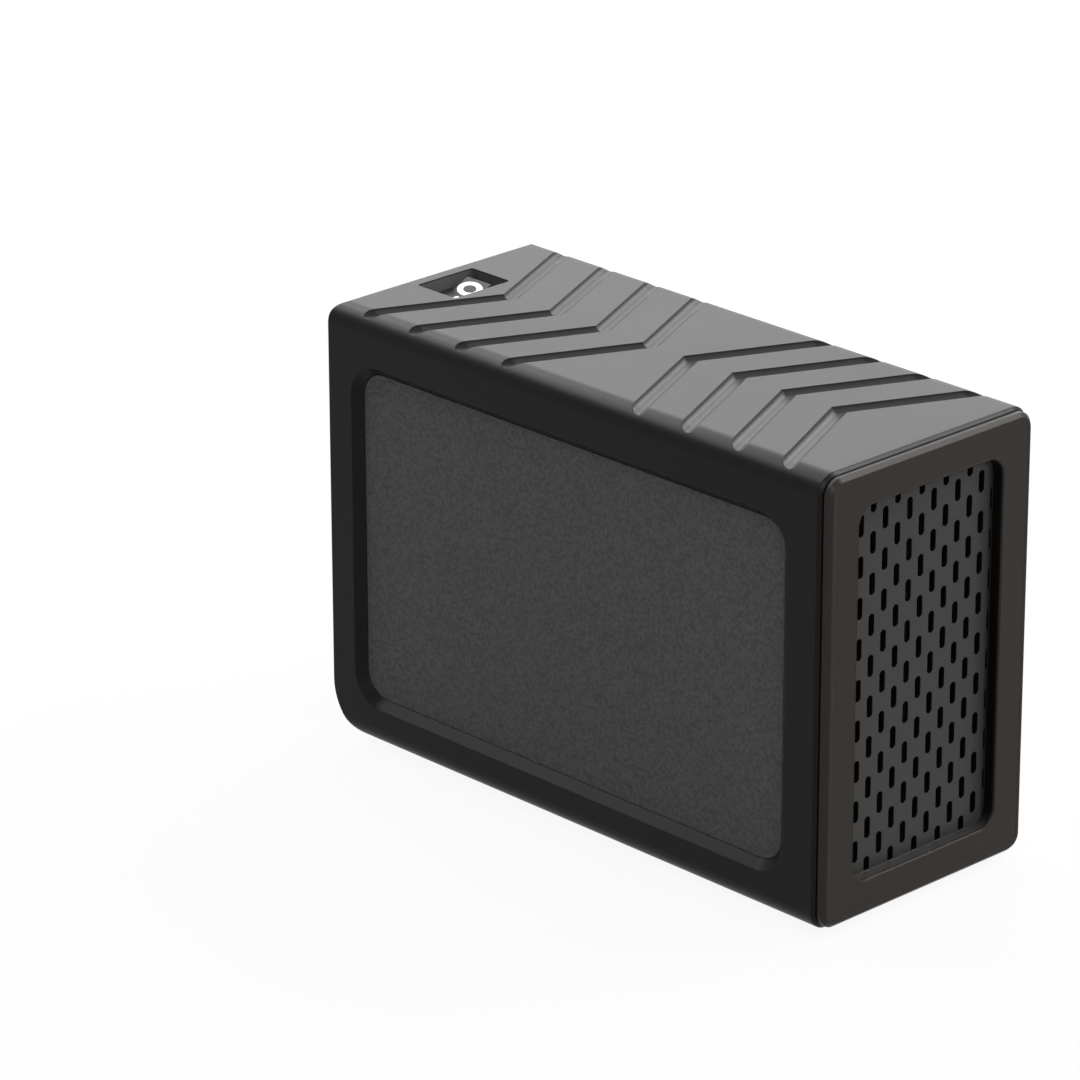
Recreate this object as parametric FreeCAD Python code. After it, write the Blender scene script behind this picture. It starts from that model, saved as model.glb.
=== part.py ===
import FreeCAD, Part
import math
import os

# Two-bay drive docking station, millimetres, +X towards the slotted door, +Z up.
# The origin is at the middle of the base, level with the underside of the feet.

# Drives and the bays that take them
drive_length = 147.0
bay_width = 27.4
bay_height = 103.2
bay_divider_width = 4.0
bay_wall = 2.4
bay_lead_in = 1.2
flange_thickness = 3.0
flange_clearance = 0.3
flange_setback = 5.0
vent_width = 16.0
vent_height = 70.0
vent_count = 5
vent_corner_cut = 3.0
bay_rib_width = 3.0
bay_rib_clearance = 0.3
bay_boss_radius = 3.5
bay_boss_inset = 25.1
bay_boss_spread = 40.0
board_post_radius = 2.7
board_post_length = 7.4
board_post_hole = 6.0

# Outer shell round the bays
bay_side_space = 3.6
bay_end_space = 8.95
shell_corner_radius = 6.0
rear_low_radius = 16.5
rear_top_radius = 4.0
side_wall = 2.5
top_wall = 4.0
floor_wall = 3.5
rear_wall = 4.0
shell_front_chamfer = 0.9

# Side recesses and their plates
recess_rear_margin = 9.5
recess_front_margin = 12.0
recess_low_margin = 11.9
recess_top_margin = 15.0
recess_bevel = 2.7
recess_back_wall = 2.0
plate_thickness = 1.2
plate_corner_radius = 8.0
plate_clearance = 0.15

# Switch well and rocker switch
well_rear_margin = 6.7
well_offset = 1.6
well_length = 16.0
well_width = 21.7
well_depth = 6.0
well_corner_radius = 1.0
well_wall = 2.0
bezel_height = 2.0
bezel_clearance = 0.3
switch_lip = 1.25
switch_depth = 14.0
switch_fit_clearance = 0.15
switch_cavity_depth = 6.0
switch_wall = 1.2
rocker_gap = 0.2
rocker_end_gap = 0.45
rocker_tilt = 12.0
rocker_crest = 1.6
rocker_foot = 1.5
rocker_foot_half = 4.0
rocker_end_lean = 0.6
rocker_pivot_drop = 1.25
rocker_pin_radius = 1.0
rocker_pin_length = 1.0
pin_clearance = 0.05
terminal_width = 4.8
terminal_thickness = 0.8
terminal_length = 8.0
terminal_spacing = 9.0

# Chevron grooves on top
chevron_pitch = 19.0
chevron_width = 5.8
chevron_angle = 25.0
chevron_depth = 1.6
chevron_well_space = 7.2
chevron_front_margin = 35.1
chevron_group_gap = 8.0

# Slotted door
door_gap = 0.5
door_thickness = 2.4
door_inset = 1.0
door_corner_radius = 5.0
door_front_radius = 2.0
door_side_margin = 12.25
door_end_margin = 11.1
door_recess_radius = 6.0
door_recess_depth = 3.9
door_side_slope = 0.4
door_end_slope = 0.5
door_tray_wall = 1.6
grille_thickness = 1.4
door_rim_wall = 1.6
door_rim_clearance = 0.5
magnet_radius = 3.0
magnet_height = 2.4
magnet_post_wall = 1.3
magnet_gap = 0.4
magnet_corner_margin = 5.0

# Slot pattern shared by the door and the fan's outlet
slot_width = 2.25
slot_length = 6.5
slot_corner_cut = 0.7
slot_edge_margin = 0.2
column_pitch = 4.8
row_pitch = 12.0

# Boards and connectors
board_thickness = 1.6
board_margin = 0.8
board_vent_width = 15.0
board_vent_height = 26.0
board_vent_count = 3
board_vent_gap = 3.0
board_vent_drop = 10.8
board_vent_corner_cut = 1.5
sata_depth = 8.6
sata_width = 6.2
sata_height = 44.0
sata_low = 12.0
sata_offset = 5.0
sata_slot_width = 1.8
sata_slot_depth = 6.0
sata_data_slot = 11.4
sata_power_slot = 21.6
sata_slot_gap = 3.0
drive_end_gap = 1.0
chip_size = 10.0
chip_height = 1.4
chip_link_gap = 5.0
port_post_height = 15.3
port_post_spread = 42.0
port_post_radius = 3.2
port_post_setback = 18.0
port_board_margin = 4.0
port_board_rear_gap = 2.0
port_board_front_gap = 0.3
link_width = 30.0
link_length = 6.0
link_height = 8.5
capacitor_radius = 4.0
capacitor_height = 11.0
capacitor_spacing = 9.5
capacitor_jack_gap = 3.0

# Ports
port_post_gap = 7.0
usb_width = 12.6
usb_height = 3.4
usb_wall = 0.35
usb_length = 9.0
usb_split = 0.8
usb_tongue_thickness = 0.7
usb_narrow_width = 4.4
jack_width = 9.0
jack_height = 11.0
jack_length = 14.0
jack_barrel_radius = 4.0
jack_barrel_length = 3.4
jack_bore_radius = 2.85
jack_bore_depth = 9.5
jack_pin_radius = 1.0
jack_pin_setback = 0.8
port_setback = 0.5
port_clearance = 0.3

# Rear panel
panel_thickness = 2.5
panel_low_margin = 17.0
panel_top_margin = 10.2
panel_side_margin = 5.5
panel_radius = 4.0
panel_ledge = 2.2
panel_clearance = 0.15
panel_screw_inset = 5.2
panel_boss_radius = 3.6
panel_boss_length = 6.0

# Fan
fan_size = 60.0
fan_depth = 15.0
fan_end_space = 3.4
fan_corner_radius = 3.5
fan_ring_wall = 1.5
fan_hole_inset = 5.0
fan_flange = 3.0
fan_hub_radius = 12.5
fan_hub_wall = 1.5
fan_hub_gap = 1.0
fan_base_radius = 12.0
fan_base_thickness = 2.0
fan_strut_width = 3.0
fan_tube_radius = 3.2
fan_tube_end_gap = 3.0
fan_shaft_radius = 1.5
fan_stator_radius = 9.6
fan_stator_end_gap = 4.5
fan_stator_poles = 4
fan_stator_slot = 1.5
fan_blades = 7
fan_blade_thickness = 1.2
fan_blade_root_sweep = 7.0
fan_blade_tip_sweep = 14.0
fan_tip_gap = 0.9

# Fasteners and feet
small_screw_radius = 1.2
small_head_radius = 2.4
small_head_height = 1.3
fan_screw_radius = 1.9
fan_head_radius = 3.4
fan_head_height = 1.5
screw_clearance = 0.05
head_clearance = 0.2
screw_end_gap = 1.0
drive_slot_width = 0.7
drive_slot_depth = 0.7
drive_slot_margin = 0.9
foot_radius = 6.0
foot_drop = 1.2
foot_recess = 1.0
foot_end_inset = 23.5
foot_side_inset = 15.0
foot_edge_chamfer = 0.5
foot_clearance = 0.1

cut_over = 1.0

# Shell size from what it has to hold
cage_half = bay_divider_width / 2 + bay_width + bay_wall
half_width = cage_half + bay_side_space + recess_back_wall + plate_thickness + recess_bevel
shell_width = 2 * half_width
cage_stack = floor_wall + bay_height + 2 * bay_wall + 2 * bay_end_space + top_wall
port_stack = floor_wall + port_post_height + board_thickness + max(jack_height, capacitor_height)
switch_stack = well_depth + switch_depth + terminal_length
shell_height = max(cage_stack, port_stack + fan_size + 2 * fan_end_space + switch_stack)
jack_space = port_setback + jack_length + capacitor_jack_gap
rear_space = jack_space + 2 * capacitor_radius + port_clearance + link_length
shell_length = rear_space + board_thickness + sata_depth + drive_end_gap + drive_length + flange_setback

# Derived places
overall_length = shell_length + door_gap + door_thickness
rear_x = -overall_length / 2
shell_front_x = rear_x + shell_length
door_back_x = shell_front_x + door_gap
door_front_x = door_back_x + door_thickness
base_z = foot_drop
top_z = base_z + shell_height
middle_z = base_z + shell_height / 2
inner_half = half_width - side_wall
inner_low = base_z + floor_wall
inner_top = top_z - top_wall
inner_middle = (inner_low + inner_top) / 2
inner_radius = shell_corner_radius - side_wall

plate_face_y = half_width - recess_bevel
plate_seat_y = plate_face_y - plate_thickness
recess_inner_y = plate_seat_y - recess_back_wall
recess_x0 = rear_x + recess_rear_margin + recess_bevel
recess_x1 = shell_front_x - recess_front_margin - recess_bevel
recess_z0 = base_z + recess_low_margin + recess_bevel
recess_z1 = top_z - recess_top_margin - recess_bevel

well_x = rear_x + well_rear_margin + well_length / 2
well_y = -well_offset
well_floor_z = top_z - well_depth
bezel_top_z = well_floor_z + bezel_height
bezel_length = well_length - 2 * bezel_clearance
bezel_width = well_width - 2 * bezel_clearance
switch_length = bezel_length - 2 * switch_lip
switch_width = bezel_width - 2 * switch_lip
cavity_length = switch_length - 2 * switch_wall
cavity_width = switch_width - 2 * switch_wall
pivot_z = bezel_top_z - rocker_pivot_drop
switch_low_z = well_floor_z - switch_depth

rear_chevron_x = rear_x + well_rear_margin + well_length + chevron_well_space + chevron_width
front_chevron_x = shell_front_x - chevron_front_margin
chevron_span = (front_chevron_x - rear_chevron_x - chevron_group_gap) / 2
chevron_count = 1 + int(chevron_span / chevron_pitch)
chevron_across = chevron_width * math.cos(math.radians(chevron_angle))
chevron_radius = (chevron_across ** 2 / 4 + chevron_depth ** 2) / (2 * chevron_depth)

flange_front_x = shell_front_x - flange_setback
flange_back_x = flange_front_x - flange_thickness
bay_middle_y = (bay_divider_width + bay_width) / 2
bay_low = inner_middle - bay_height / 2
bay_top = inner_middle + bay_height / 2
cage_low = bay_low - bay_wall
cage_top = bay_top + bay_wall
drive_rear_x = flange_front_x - drive_length
board_front_x = drive_rear_x - drive_end_gap - sata_depth
board_rear_x = board_front_x - board_thickness
post_end_x = board_front_x + board_post_length
cage_rear_x = post_end_x - board_post_length / 2
post_y = cage_half - bay_wall + board_post_radius
post_low_z = bay_low + board_post_radius
post_top_z = bay_top - board_post_radius

flange_half_y = inner_half - flange_clearance
flange_half_z = (inner_top - inner_low) / 2 - flange_clearance
magnet_y = flange_half_y - magnet_corner_margin
magnet_z = flange_half_z - magnet_corner_margin
magnet_post_radius = magnet_radius + magnet_post_wall
door_rim_back_x = flange_front_x + magnet_gap
grille_front_x = door_front_x - door_recess_depth
grille_back_x = grille_front_x - grille_thickness
door_recess_width = shell_width - 2 * door_side_margin
door_recess_height = shell_height - 2 * door_end_margin
grille_width = door_recess_width - 2 * door_side_slope
grille_height = door_recess_height - 2 * door_end_slope

panel_low_z = base_z + panel_low_margin
panel_top_z = top_z - panel_top_margin
panel_half = half_width - panel_side_margin
panel_front_x = rear_x + panel_thickness
panel_screw_y = panel_half - panel_screw_inset
panel_screw_low = panel_low_z + panel_screw_inset
panel_screw_top = panel_top_z - panel_screw_inset

port_board_low = inner_low + port_post_height
port_board_top = port_board_low + board_thickness
port_board_half = port_post_spread / 2 + port_board_margin
port_board_rear_x = panel_front_x + port_board_rear_gap
port_board_front_x = board_rear_x - port_board_front_gap
port_post_x = rear_x + port_post_setback
port_face_x = rear_x + port_setback
jack_offset = port_post_spread / 2 - port_post_gap
usb_offset = -jack_offset
usb_z = port_board_top + usb_height / 2
usb_back_x = port_face_x + usb_length - 2 * usb_wall
jack_z = port_board_top + jack_height / 2
jack_body_x = port_face_x + jack_barrel_length

fan_bore_radius = fan_size / 2 - fan_ring_wall
fan_hole_spacing = fan_size - 2 * fan_hole_inset
fan_z = base_z + port_stack + fan_end_space + fan_size / 2
fan_rear_x = panel_front_x
fan_front_x = fan_rear_x + fan_depth
fan_base_x = fan_rear_x + fan_base_thickness
hub_rear_x = fan_base_x + fan_hub_gap
hub_front_x = fan_front_x - fan_hub_gap

along_x = FreeCAD.Vector(1, 0, 0)
along_y = FreeCAD.Vector(0, 1, 0)
along_z = FreeCAD.Vector(0, 0, 1)


def point(x, y, z):
    return FreeCAD.Vector(x, y, z)


def box(x0, x1, y0, y1, z0, z1):
    return Part.makeBox(x1 - x0, y1 - y0, z1 - z0, point(x0, y0, z0))


def rod_x(x0, x1, y, z, radius):
    return Part.makeCylinder(radius, x1 - x0, point(x0, y, z), along_x)


def rod_z(x, y, z0, z1, radius):
    return Part.makeCylinder(radius, z1 - z0, point(x, y, z0), along_z)


def polygon(points):
    return Part.makePolygon(points + points[:1])


def rounded_rectangle(centre, across, up, width, height, radius):
    """Closed wire of four sides and four corner arcs in the plane of across and up."""
    a = width / 2
    b = height / 2
    edges = []
    corners = [(1, 1), (-1, 1), (-1, -1), (1, -1)]
    middle = radius * (1 - math.sqrt(0.5))
    starts = []
    for i, (u, v) in enumerate(corners):
        first = (u * a, v * (b - radius))
        last = (u * (a - radius), v * b)
        if i % 2:
            first, last = last, first
        bend = (u * (a - middle), v * (b - middle))
        starts.append([centre + across * p[0] + up * p[1] for p in (first, bend, last)])
    for i, (first, bend, last) in enumerate(starts):
        edges.append(Part.Arc(first, bend, last).toShape())
        edges.append(Part.LineSegment(last, starts[(i + 1) % 4][0]).toShape())
    return Part.Wire(edges)


def prism(wire, direction):
    return Part.Face(wire).extrude(direction)


def cut_corner_rectangle(centre, across, up, width, height, cut):
    """Closed wire of a rectangle with its four corners cut off."""
    a = width / 2
    b = height / 2
    outline = [(a, cut - b), (a, b - cut), (a - cut, b), (cut - a, b),
               (-a, b - cut), (-a, cut - b), (cut - a, -b), (a - cut, -b)]
    return polygon([centre + across * u + up * v for u, v in outline])


def rounded_block_x(x0, x1, half_y, z0, z1, radius, y=0.0):
    wire = rounded_rectangle(point(x0, y, (z0 + z1) / 2), along_y, along_z, 2 * half_y, z1 - z0, radius)
    return prism(wire, along_x * (x1 - x0))


def rounded_block_z(x, y, z0, z1, length, width, radius):
    wire = rounded_rectangle(point(x, y, z0), along_x, along_y, length, width, radius)
    return prism(wire, along_z * (z1 - z0))


def side_outline(y, grow):
    """Outline of a side recess, grown all round, in the plane at y."""
    centre = point((recess_x0 + recess_x1) / 2, y, (recess_z0 + recess_z1) / 2)
    length = recess_x1 - recess_x0 + 2 * grow
    height = recess_z1 - recess_z0 + 2 * grow
    return rounded_rectangle(centre, along_x, along_z, length, height, plate_corner_radius + grow)


def taper(wire_a, wire_b):
    return Part.makeLoft([wire_a, wire_b], True, True)


def side_profile(x_rear, x_front, z_low, z_high, low_radius, top_radius):
    """Slab across the full width with rounded rear edges, seen from the side."""
    y = -half_width - cut_over
    turn = 1 - math.sqrt(0.5)
    low_a = point(x_rear, y, z_low + low_radius)
    low_m = point(x_rear + low_radius * turn, y, z_low + low_radius * turn)
    low_b = point(x_rear + low_radius, y, z_low)
    top_a = point(x_rear + top_radius, y, z_high)
    top_m = point(x_rear + top_radius * turn, y, z_high - top_radius * turn)
    top_b = point(x_rear, y, z_high - top_radius)
    front_low = point(x_front, y, z_low)
    front_top = point(x_front, y, z_high)
    edges = [
        Part.Arc(low_a, low_m, low_b).toShape(),
        Part.LineSegment(low_b, front_low).toShape(),
        Part.LineSegment(front_low, front_top).toShape(),
        Part.LineSegment(front_top, top_a).toShape(),
        Part.Arc(top_a, top_m, top_b).toShape(),
        Part.LineSegment(top_b, low_a).toShape(),
    ]
    return prism(Part.Wire(edges), along_y * (shell_width + 2 * cut_over))


def chevron_arm(tip_x, facing, side):
    """Lying rod that scoops one arm of a chevron; facing is the way the tip points."""
    reach = 2 * half_width
    lean = math.radians(chevron_angle)
    axis = point(-facing * math.sin(lean), side * math.cos(lean), 0)
    middle = point(tip_x - facing * chevron_width / 2, 0, top_z - chevron_depth + chevron_radius)
    rod = Part.makeCylinder(chevron_radius, 2 * reach, middle - axis * reach, axis)
    low_y, high_y = sorted((0, side * reach))
    return rod.common(box(tip_x - 2 * reach, tip_x + 2 * reach, low_y, high_y, base_z, top_z + reach))


def chevron_cutters():
    cutters = []
    for first_x, facing in ((rear_chevron_x, 1), (front_chevron_x, -1)):
        for i in range(chevron_count):
            tip_x = first_x + facing * i * chevron_pitch
            cutters += [chevron_arm(tip_x, facing, side) for side in (-1, 1)]
    return cutters


def screw(radius, head_radius, head_height, length):
    """Flat-headed screw with a cross drive, head face at z 0, shank down."""
    body = rod_z(0, 0, -head_height, 0, head_radius)
    body = body.fuse(rod_z(0, 0, -head_height - length, -head_height, radius))
    reach = head_radius - drive_slot_margin
    half = drive_slot_width / 2
    long_way = box(-reach, reach, -half, half, -drive_slot_depth, cut_over)
    short_way = box(-half, half, -reach, reach, -drive_slot_depth, cut_over)
    return body.cut([long_way, short_way])


def placed(shape, x, y, z, axis=None):
    """Copy of a screw with its head face at the point, head pointing along axis."""
    copy = shape.copy()
    turn = FreeCAD.Rotation(along_z, axis or along_z)
    copy.Placement = FreeCAD.Placement(point(x, y, z), turn)
    return copy


def slot_block(x0, x1, y, z):
    wire = cut_corner_rectangle(point(x0, y, z), along_y, along_z, slot_width, slot_length, slot_corner_cut)
    return prism(wire, along_x * (x1 - x0))


def slot_field(x0, x1, centre_z, columns, rows):
    """Staggered upright slots: every second column out from the middle has one slot fewer."""
    places = []
    for i in range(columns):
        y = (i - (columns - 1) / 2) * column_pitch
        count = rows - (i - columns // 2) % 2
        for k in range(count):
            z = centre_z + (k - (count - 1) / 2) * row_pitch
            places.append((y, z))
    return [slot_block(x0, x1, y, z) for y, z in places]


def corner_points(y, z_low, z_high):
    return [(-y, z_low), (y, z_low), (-y, z_high), (y, z_high)]


def foot_points():
    x0 = rear_x + foot_end_inset
    x1 = shell_front_x - foot_end_inset
    y = half_width - foot_side_inset
    return [(x, s * y) for x in (x0, x1) for s in (-1, 1)]


def bay_boss_points():
    ends = (cage_rear_x + bay_boss_inset, flange_back_x - bay_boss_inset)
    return [(x, side * bay_boss_spread / 2) for x in ends for side in (-1, 1)]


def outer_shell():
    outer = rounded_block_x(rear_x, shell_front_x, half_width, base_z, top_z, shell_corner_radius)
    front_edges = [e for e in outer.Edges if abs(e.BoundBox.XMin - shell_front_x) < 1e-6]
    outer = outer.makeChamfer(shell_front_chamfer, front_edges)
    outer = outer.common(side_profile(rear_x, shell_front_x, base_z, top_z, rear_low_radius, rear_top_radius))
    cavity_rear = rear_x + rear_wall
    mouth_x = shell_front_x + cut_over
    cavity = rounded_block_x(cavity_rear, mouth_x, inner_half, inner_low, inner_top, inner_radius)
    bend = rear_low_radius - floor_wall
    cavity = cavity.common(side_profile(cavity_rear, mouth_x, inner_low, inner_top, bend, rear_top_radius))
    shell = outer.cut(cavity)

    added = []
    for side in (-1, 1):
        wire = side_outline(side * recess_inner_y, recess_back_wall)
        added.append(prism(wire, along_y * side * (half_width - side_wall / 2 - recess_inner_y)))
    well_low = well_floor_z - well_wall
    added.append(rounded_block_z(well_x, well_y, well_low, inner_top + top_wall / 2,
                                 well_length + 2 * well_wall, well_width + 2 * well_wall,
                                 well_corner_radius + well_wall))
    boss_end = rear_x + rear_wall + panel_boss_length
    for y, z in corner_points(panel_screw_y, panel_screw_low, panel_screw_top):
        added.append(rod_x(panel_front_x, boss_end, y, z, panel_boss_radius))
    for side in (-1, 1):
        added.append(rod_z(port_post_x, side * port_post_spread / 2, inner_low - floor_wall / 2,
                           port_board_low, port_post_radius))
    shell = shell.fuse(added)

    cuts = []
    for side in (-1, 1):
        rim = side_outline(side * (half_width + cut_over), recess_bevel + cut_over)
        foot = side_outline(side * plate_face_y, 0)
        cuts.append(taper(rim, foot))
        cuts.append(prism(foot, along_y * side * -plate_thickness))
    cuts += chevron_cutters()
    cuts.append(rounded_block_z(well_x, well_y, well_floor_z, top_z + cut_over, well_length, well_width,
                                well_corner_radius))
    opening = 2 * switch_fit_clearance
    cuts.append(rounded_block_z(well_x, well_y, well_low - cut_over, top_z, switch_length + opening,
                                switch_width + opening, well_corner_radius))
    cuts.append(rounded_block_x(rear_x - cut_over, panel_front_x, panel_half, panel_low_z, panel_top_z,
                                panel_radius))
    window = rounded_block_x(rear_x, rear_x + rear_wall + cut_over, panel_half - panel_ledge,
                             panel_low_z + panel_ledge, panel_top_z - panel_ledge, panel_radius)
    for y, z in corner_points(panel_screw_y, panel_screw_low, panel_screw_top):
        window = window.cut(rod_x(rear_x, boss_end, y, z, panel_boss_radius))
        cuts.append(rod_x(rear_x, boss_end - cut_over, y, z, small_screw_radius + screw_clearance))
    cuts.append(window)
    post_hole = small_screw_radius + screw_clearance
    for side in (-1, 1):
        cuts.append(rod_z(port_post_x, side * port_post_spread / 2, inner_low, port_board_low + cut_over,
                          post_hole))
    for x, y in foot_points():
        cuts.append(rod_z(x, y, base_z - cut_over, base_z + foot_recess, foot_radius + foot_clearance))
    for x, y in bay_boss_points():
        cuts.append(rod_z(x, y, base_z - cut_over, base_z + small_head_height,
                          small_head_radius + head_clearance))
        cuts.append(rod_z(x, y, base_z, inner_low + cut_over, small_screw_radius + screw_clearance))
    return shell.cut(cuts).removeSplitter()


def side_panel(side):
    wire = side_outline(side * plate_seat_y, -plate_clearance)
    return prism(wire, along_y * side * plate_thickness)


def rubber_feet():
    feet = []
    for x, y in foot_points():
        foot = rod_z(x, y, 0, base_z + foot_recess, foot_radius)
        rim = [e for e in foot.Edges if abs(e.BoundBox.ZMax) < 1e-6]
        feet.append(foot.makeChamfer(foot_edge_chamfer, rim))
    return Part.makeCompound(feet)


def door_outline(x, width, height, radius):
    """Closed wire upright across the door's middle line."""
    return rounded_rectangle(point(x, 0, middle_z), along_y, along_z, width, height, radius)


def front_door():
    face = door_outline(door_back_x, shell_width - 2 * door_inset, shell_height - 2 * door_inset,
                        door_corner_radius)
    slab = prism(face, along_x * door_thickness)
    front = [e for e in slab.Edges if abs(e.BoundBox.XMin - door_front_x) < 1e-6]
    slab = slab.makeFillet(door_front_radius, front)
    tray = door_outline(grille_back_x, door_recess_width + 2 * door_tray_wall,
                        door_recess_height + 2 * door_tray_wall, door_recess_radius + door_tray_wall)
    slab = slab.fuse(prism(tray, along_x * (door_back_x - grille_back_x)))

    rim_half = inner_half - door_rim_clearance
    rim_low = inner_low + door_rim_clearance
    rim_top = inner_top - door_rim_clearance
    rim_radius = inner_radius - door_rim_clearance
    rim = rounded_block_x(door_rim_back_x, door_back_x, rim_half, rim_low, rim_top, rim_radius)
    wall = door_rim_wall
    rim = rim.cut(rounded_block_x(door_rim_back_x - cut_over, door_back_x + cut_over, rim_half - wall,
                                  rim_low + wall, rim_top - wall, rim_radius - wall))
    added = [rim]
    magnets = corner_points(magnet_y, inner_middle - magnet_z, inner_middle + magnet_z)
    for y, z in magnets:
        added.append(rod_x(door_rim_back_x, door_back_x, y, z, magnet_post_radius))
    door = slab.fuse(added)

    scale = cut_over / door_recess_depth
    mouth = door_outline(door_front_x + cut_over, door_recess_width + 2 * door_side_slope * scale,
                         door_recess_height + 2 * door_end_slope * scale, door_recess_radius)
    floor = door_outline(grille_front_x, grille_width, grille_height, door_recess_radius)
    cuts = [taper(mouth, floor)]
    within = door_outline(grille_back_x - cut_over, grille_width - 2 * slot_edge_margin,
                          grille_height - 2 * slot_edge_margin, door_recess_radius)
    columns = 1 + 2 * int(door_recess_width / 2 / column_pitch)
    rows = 1 + int(grille_height / row_pitch)
    slots = slot_field(grille_back_x - cut_over, door_front_x, middle_z, columns, rows)
    slot_reach = along_x * (door_front_x - grille_back_x + cut_over)
    cuts.append(Part.makeCompound(slots).common(prism(within, slot_reach)))
    for y, z in magnets:
        cuts.append(rod_x(door_rim_back_x - cut_over, door_rim_back_x + magnet_height, y, z, magnet_radius))
    return door.cut(cuts).removeSplitter()


def discs(x0):
    points = corner_points(magnet_y, inner_middle - magnet_z, inner_middle + magnet_z)
    return Part.makeCompound([rod_x(x0, x0 + magnet_height, y, z, magnet_radius) for y, z in points])


def bay_wall_vents(y0, y1):
    """Upright openings through the plates between y0 and y1."""
    pitch = (flange_back_x - cage_rear_x) / vent_count
    vents = []
    for i in range(vent_count):
        centre = point(cage_rear_x + pitch / 2 + i * pitch, y0 - cut_over, inner_middle)
        wire = cut_corner_rectangle(centre, along_x, along_z, vent_width, vent_height, vent_corner_cut)
        vents.append(prism(wire, along_y * (y1 - y0 + 2 * cut_over)))
    return vents


def bay_flange():
    flange = rounded_block_x(flange_back_x, flange_front_x, flange_half_y, inner_middle - flange_half_z,
                             inner_middle + flange_half_z, inner_radius - flange_clearance)
    cuts = []
    corners = ((-1, -1), (1, -1), (1, 1), (-1, 1))
    for side in (-1, 1):
        y = side * bay_middle_y
        half = bay_width / 2
        tall = bay_height / 2
        cuts.append(box(flange_back_x - cut_over, flange_front_x + cut_over, y - half, y + half,
                        bay_low, bay_top))
        inner = polygon([point(flange_front_x - bay_lead_in, y + a * half, inner_middle + b * tall)
                         for a, b in corners])
        wide = half + bay_lead_in
        high = tall + bay_lead_in
        outer = polygon([point(flange_front_x, y + a * wide, inner_middle + b * high) for a, b in corners])
        cuts.append(taper(inner, outer))
    for y, z in corner_points(magnet_y, inner_middle - magnet_z, inner_middle + magnet_z):
        cuts.append(rod_x(flange_front_x - magnet_height, flange_front_x + cut_over, y, z, magnet_radius))
    return flange.cut(cuts)


def bay_floor():
    plate = box(cage_rear_x, flange_back_x, -cage_half, cage_half, cage_low, bay_low)
    plate = plate.fuse([rod_z(x, y, inner_low, cage_low, bay_boss_radius) for x, y in bay_boss_points()])
    pilot = small_screw_radius + screw_clearance
    return plate.cut([rod_z(x, y, inner_low - cut_over, cage_low, pilot) for x, y in bay_boss_points()])


def bay_roof():
    return box(cage_rear_x, flange_back_x, -cage_half, cage_half, bay_top, cage_top)


def bay_wall_plate(side):
    """Side wall of a bay with stiffening ribs outside and the board's posts at its rear end."""
    y0, y1 = sorted((side * (cage_half - bay_wall), side * cage_half))
    plate = box(cage_rear_x, flange_back_x, y0, y1, bay_low, bay_top)
    rib_y0, rib_y1 = sorted((side * cage_half, side * (recess_inner_y - bay_rib_clearance)))
    added = []
    for low in (bay_low, bay_top - bay_rib_width):
        added.append(box(cage_rear_x, flange_back_x, rib_y0, rib_y1, low, low + bay_rib_width))
    for z in (post_low_z, post_top_z):
        added.append(rod_x(board_front_x, post_end_x, side * post_y, z, board_post_radius))
    cuts = bay_wall_vents(y0, y1)
    pilot = small_screw_radius + screw_clearance
    for z in (post_low_z, post_top_z):
        cuts.append(rod_x(board_front_x - cut_over, board_front_x + board_post_hole, side * post_y, z, pilot))
    return plate.fuse(added).cut(cuts).removeSplitter()


def bay_divider():
    half = bay_divider_width / 2
    plate = box(cage_rear_x, flange_back_x, -half, half, bay_low, bay_top)
    return plate.cut(bay_wall_vents(-half, half))


def backplane_board():
    low = cage_low + board_margin
    top = cage_top - board_margin
    half = post_y + board_post_radius - board_margin
    board = box(board_rear_x, board_front_x, -half, half, low, top)
    cuts = []
    vent_z = top - board_vent_drop - board_vent_height / 2
    for i in range(board_vent_count):
        y = (i - (board_vent_count - 1) / 2) * (board_vent_width + board_vent_gap)
        wire = cut_corner_rectangle(point(board_rear_x - cut_over, y, vent_z), along_y, along_z,
                                    board_vent_width, board_vent_height, board_vent_corner_cut)
        cuts.append(prism(wire, along_x * (board_thickness + 2 * cut_over)))
    for y, z in corner_points(post_y, post_low_z, post_top_z):
        cuts.append(rod_x(board_rear_x - cut_over, board_front_x + cut_over, y, z,
                          small_screw_radius + screw_clearance))
    return board.cut(cuts)


def sata_centre_y(side):
    return side * bay_middle_y + bay_width / 2 - sata_offset - sata_width / 2


def sata_socket(side):
    y = sata_centre_y(side)
    low = bay_low + sata_low
    block = box(board_front_x, board_front_x + sata_depth, y - sata_width / 2, y + sata_width / 2, low,
                low + sata_height)
    front = board_front_x + sata_depth
    spare = (sata_height - sata_power_slot - sata_data_slot - sata_slot_gap) / 2
    half = sata_slot_width / 2
    power = box(front - sata_slot_depth, front + cut_over, y - half, y + half, low + spare,
                low + spare + sata_power_slot)
    start = low + spare + sata_power_slot + sata_slot_gap
    data = box(front - sata_slot_depth, front + cut_over, y - half, y + half, start, start + sata_data_slot)
    return block.cut([power, data])


def bridge_chip():
    half = chip_size / 2
    low = port_board_top + link_height + chip_link_gap
    return box(board_rear_x - chip_height, board_rear_x, -half, half, low, low + chip_size)


def port_board():
    board = box(port_board_rear_x, port_board_front_x, -port_board_half, port_board_half, port_board_low,
                port_board_top)
    holes = [rod_z(port_post_x, side * port_post_spread / 2, port_board_low - cut_over,
                   port_board_top + cut_over, small_screw_radius + screw_clearance) for side in (-1, 1)]
    return board.cut(holes)


def board_link():
    return box(board_rear_x - link_length, board_rear_x, -link_width / 2, link_width / 2, port_board_top,
               port_board_top + link_height)


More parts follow.
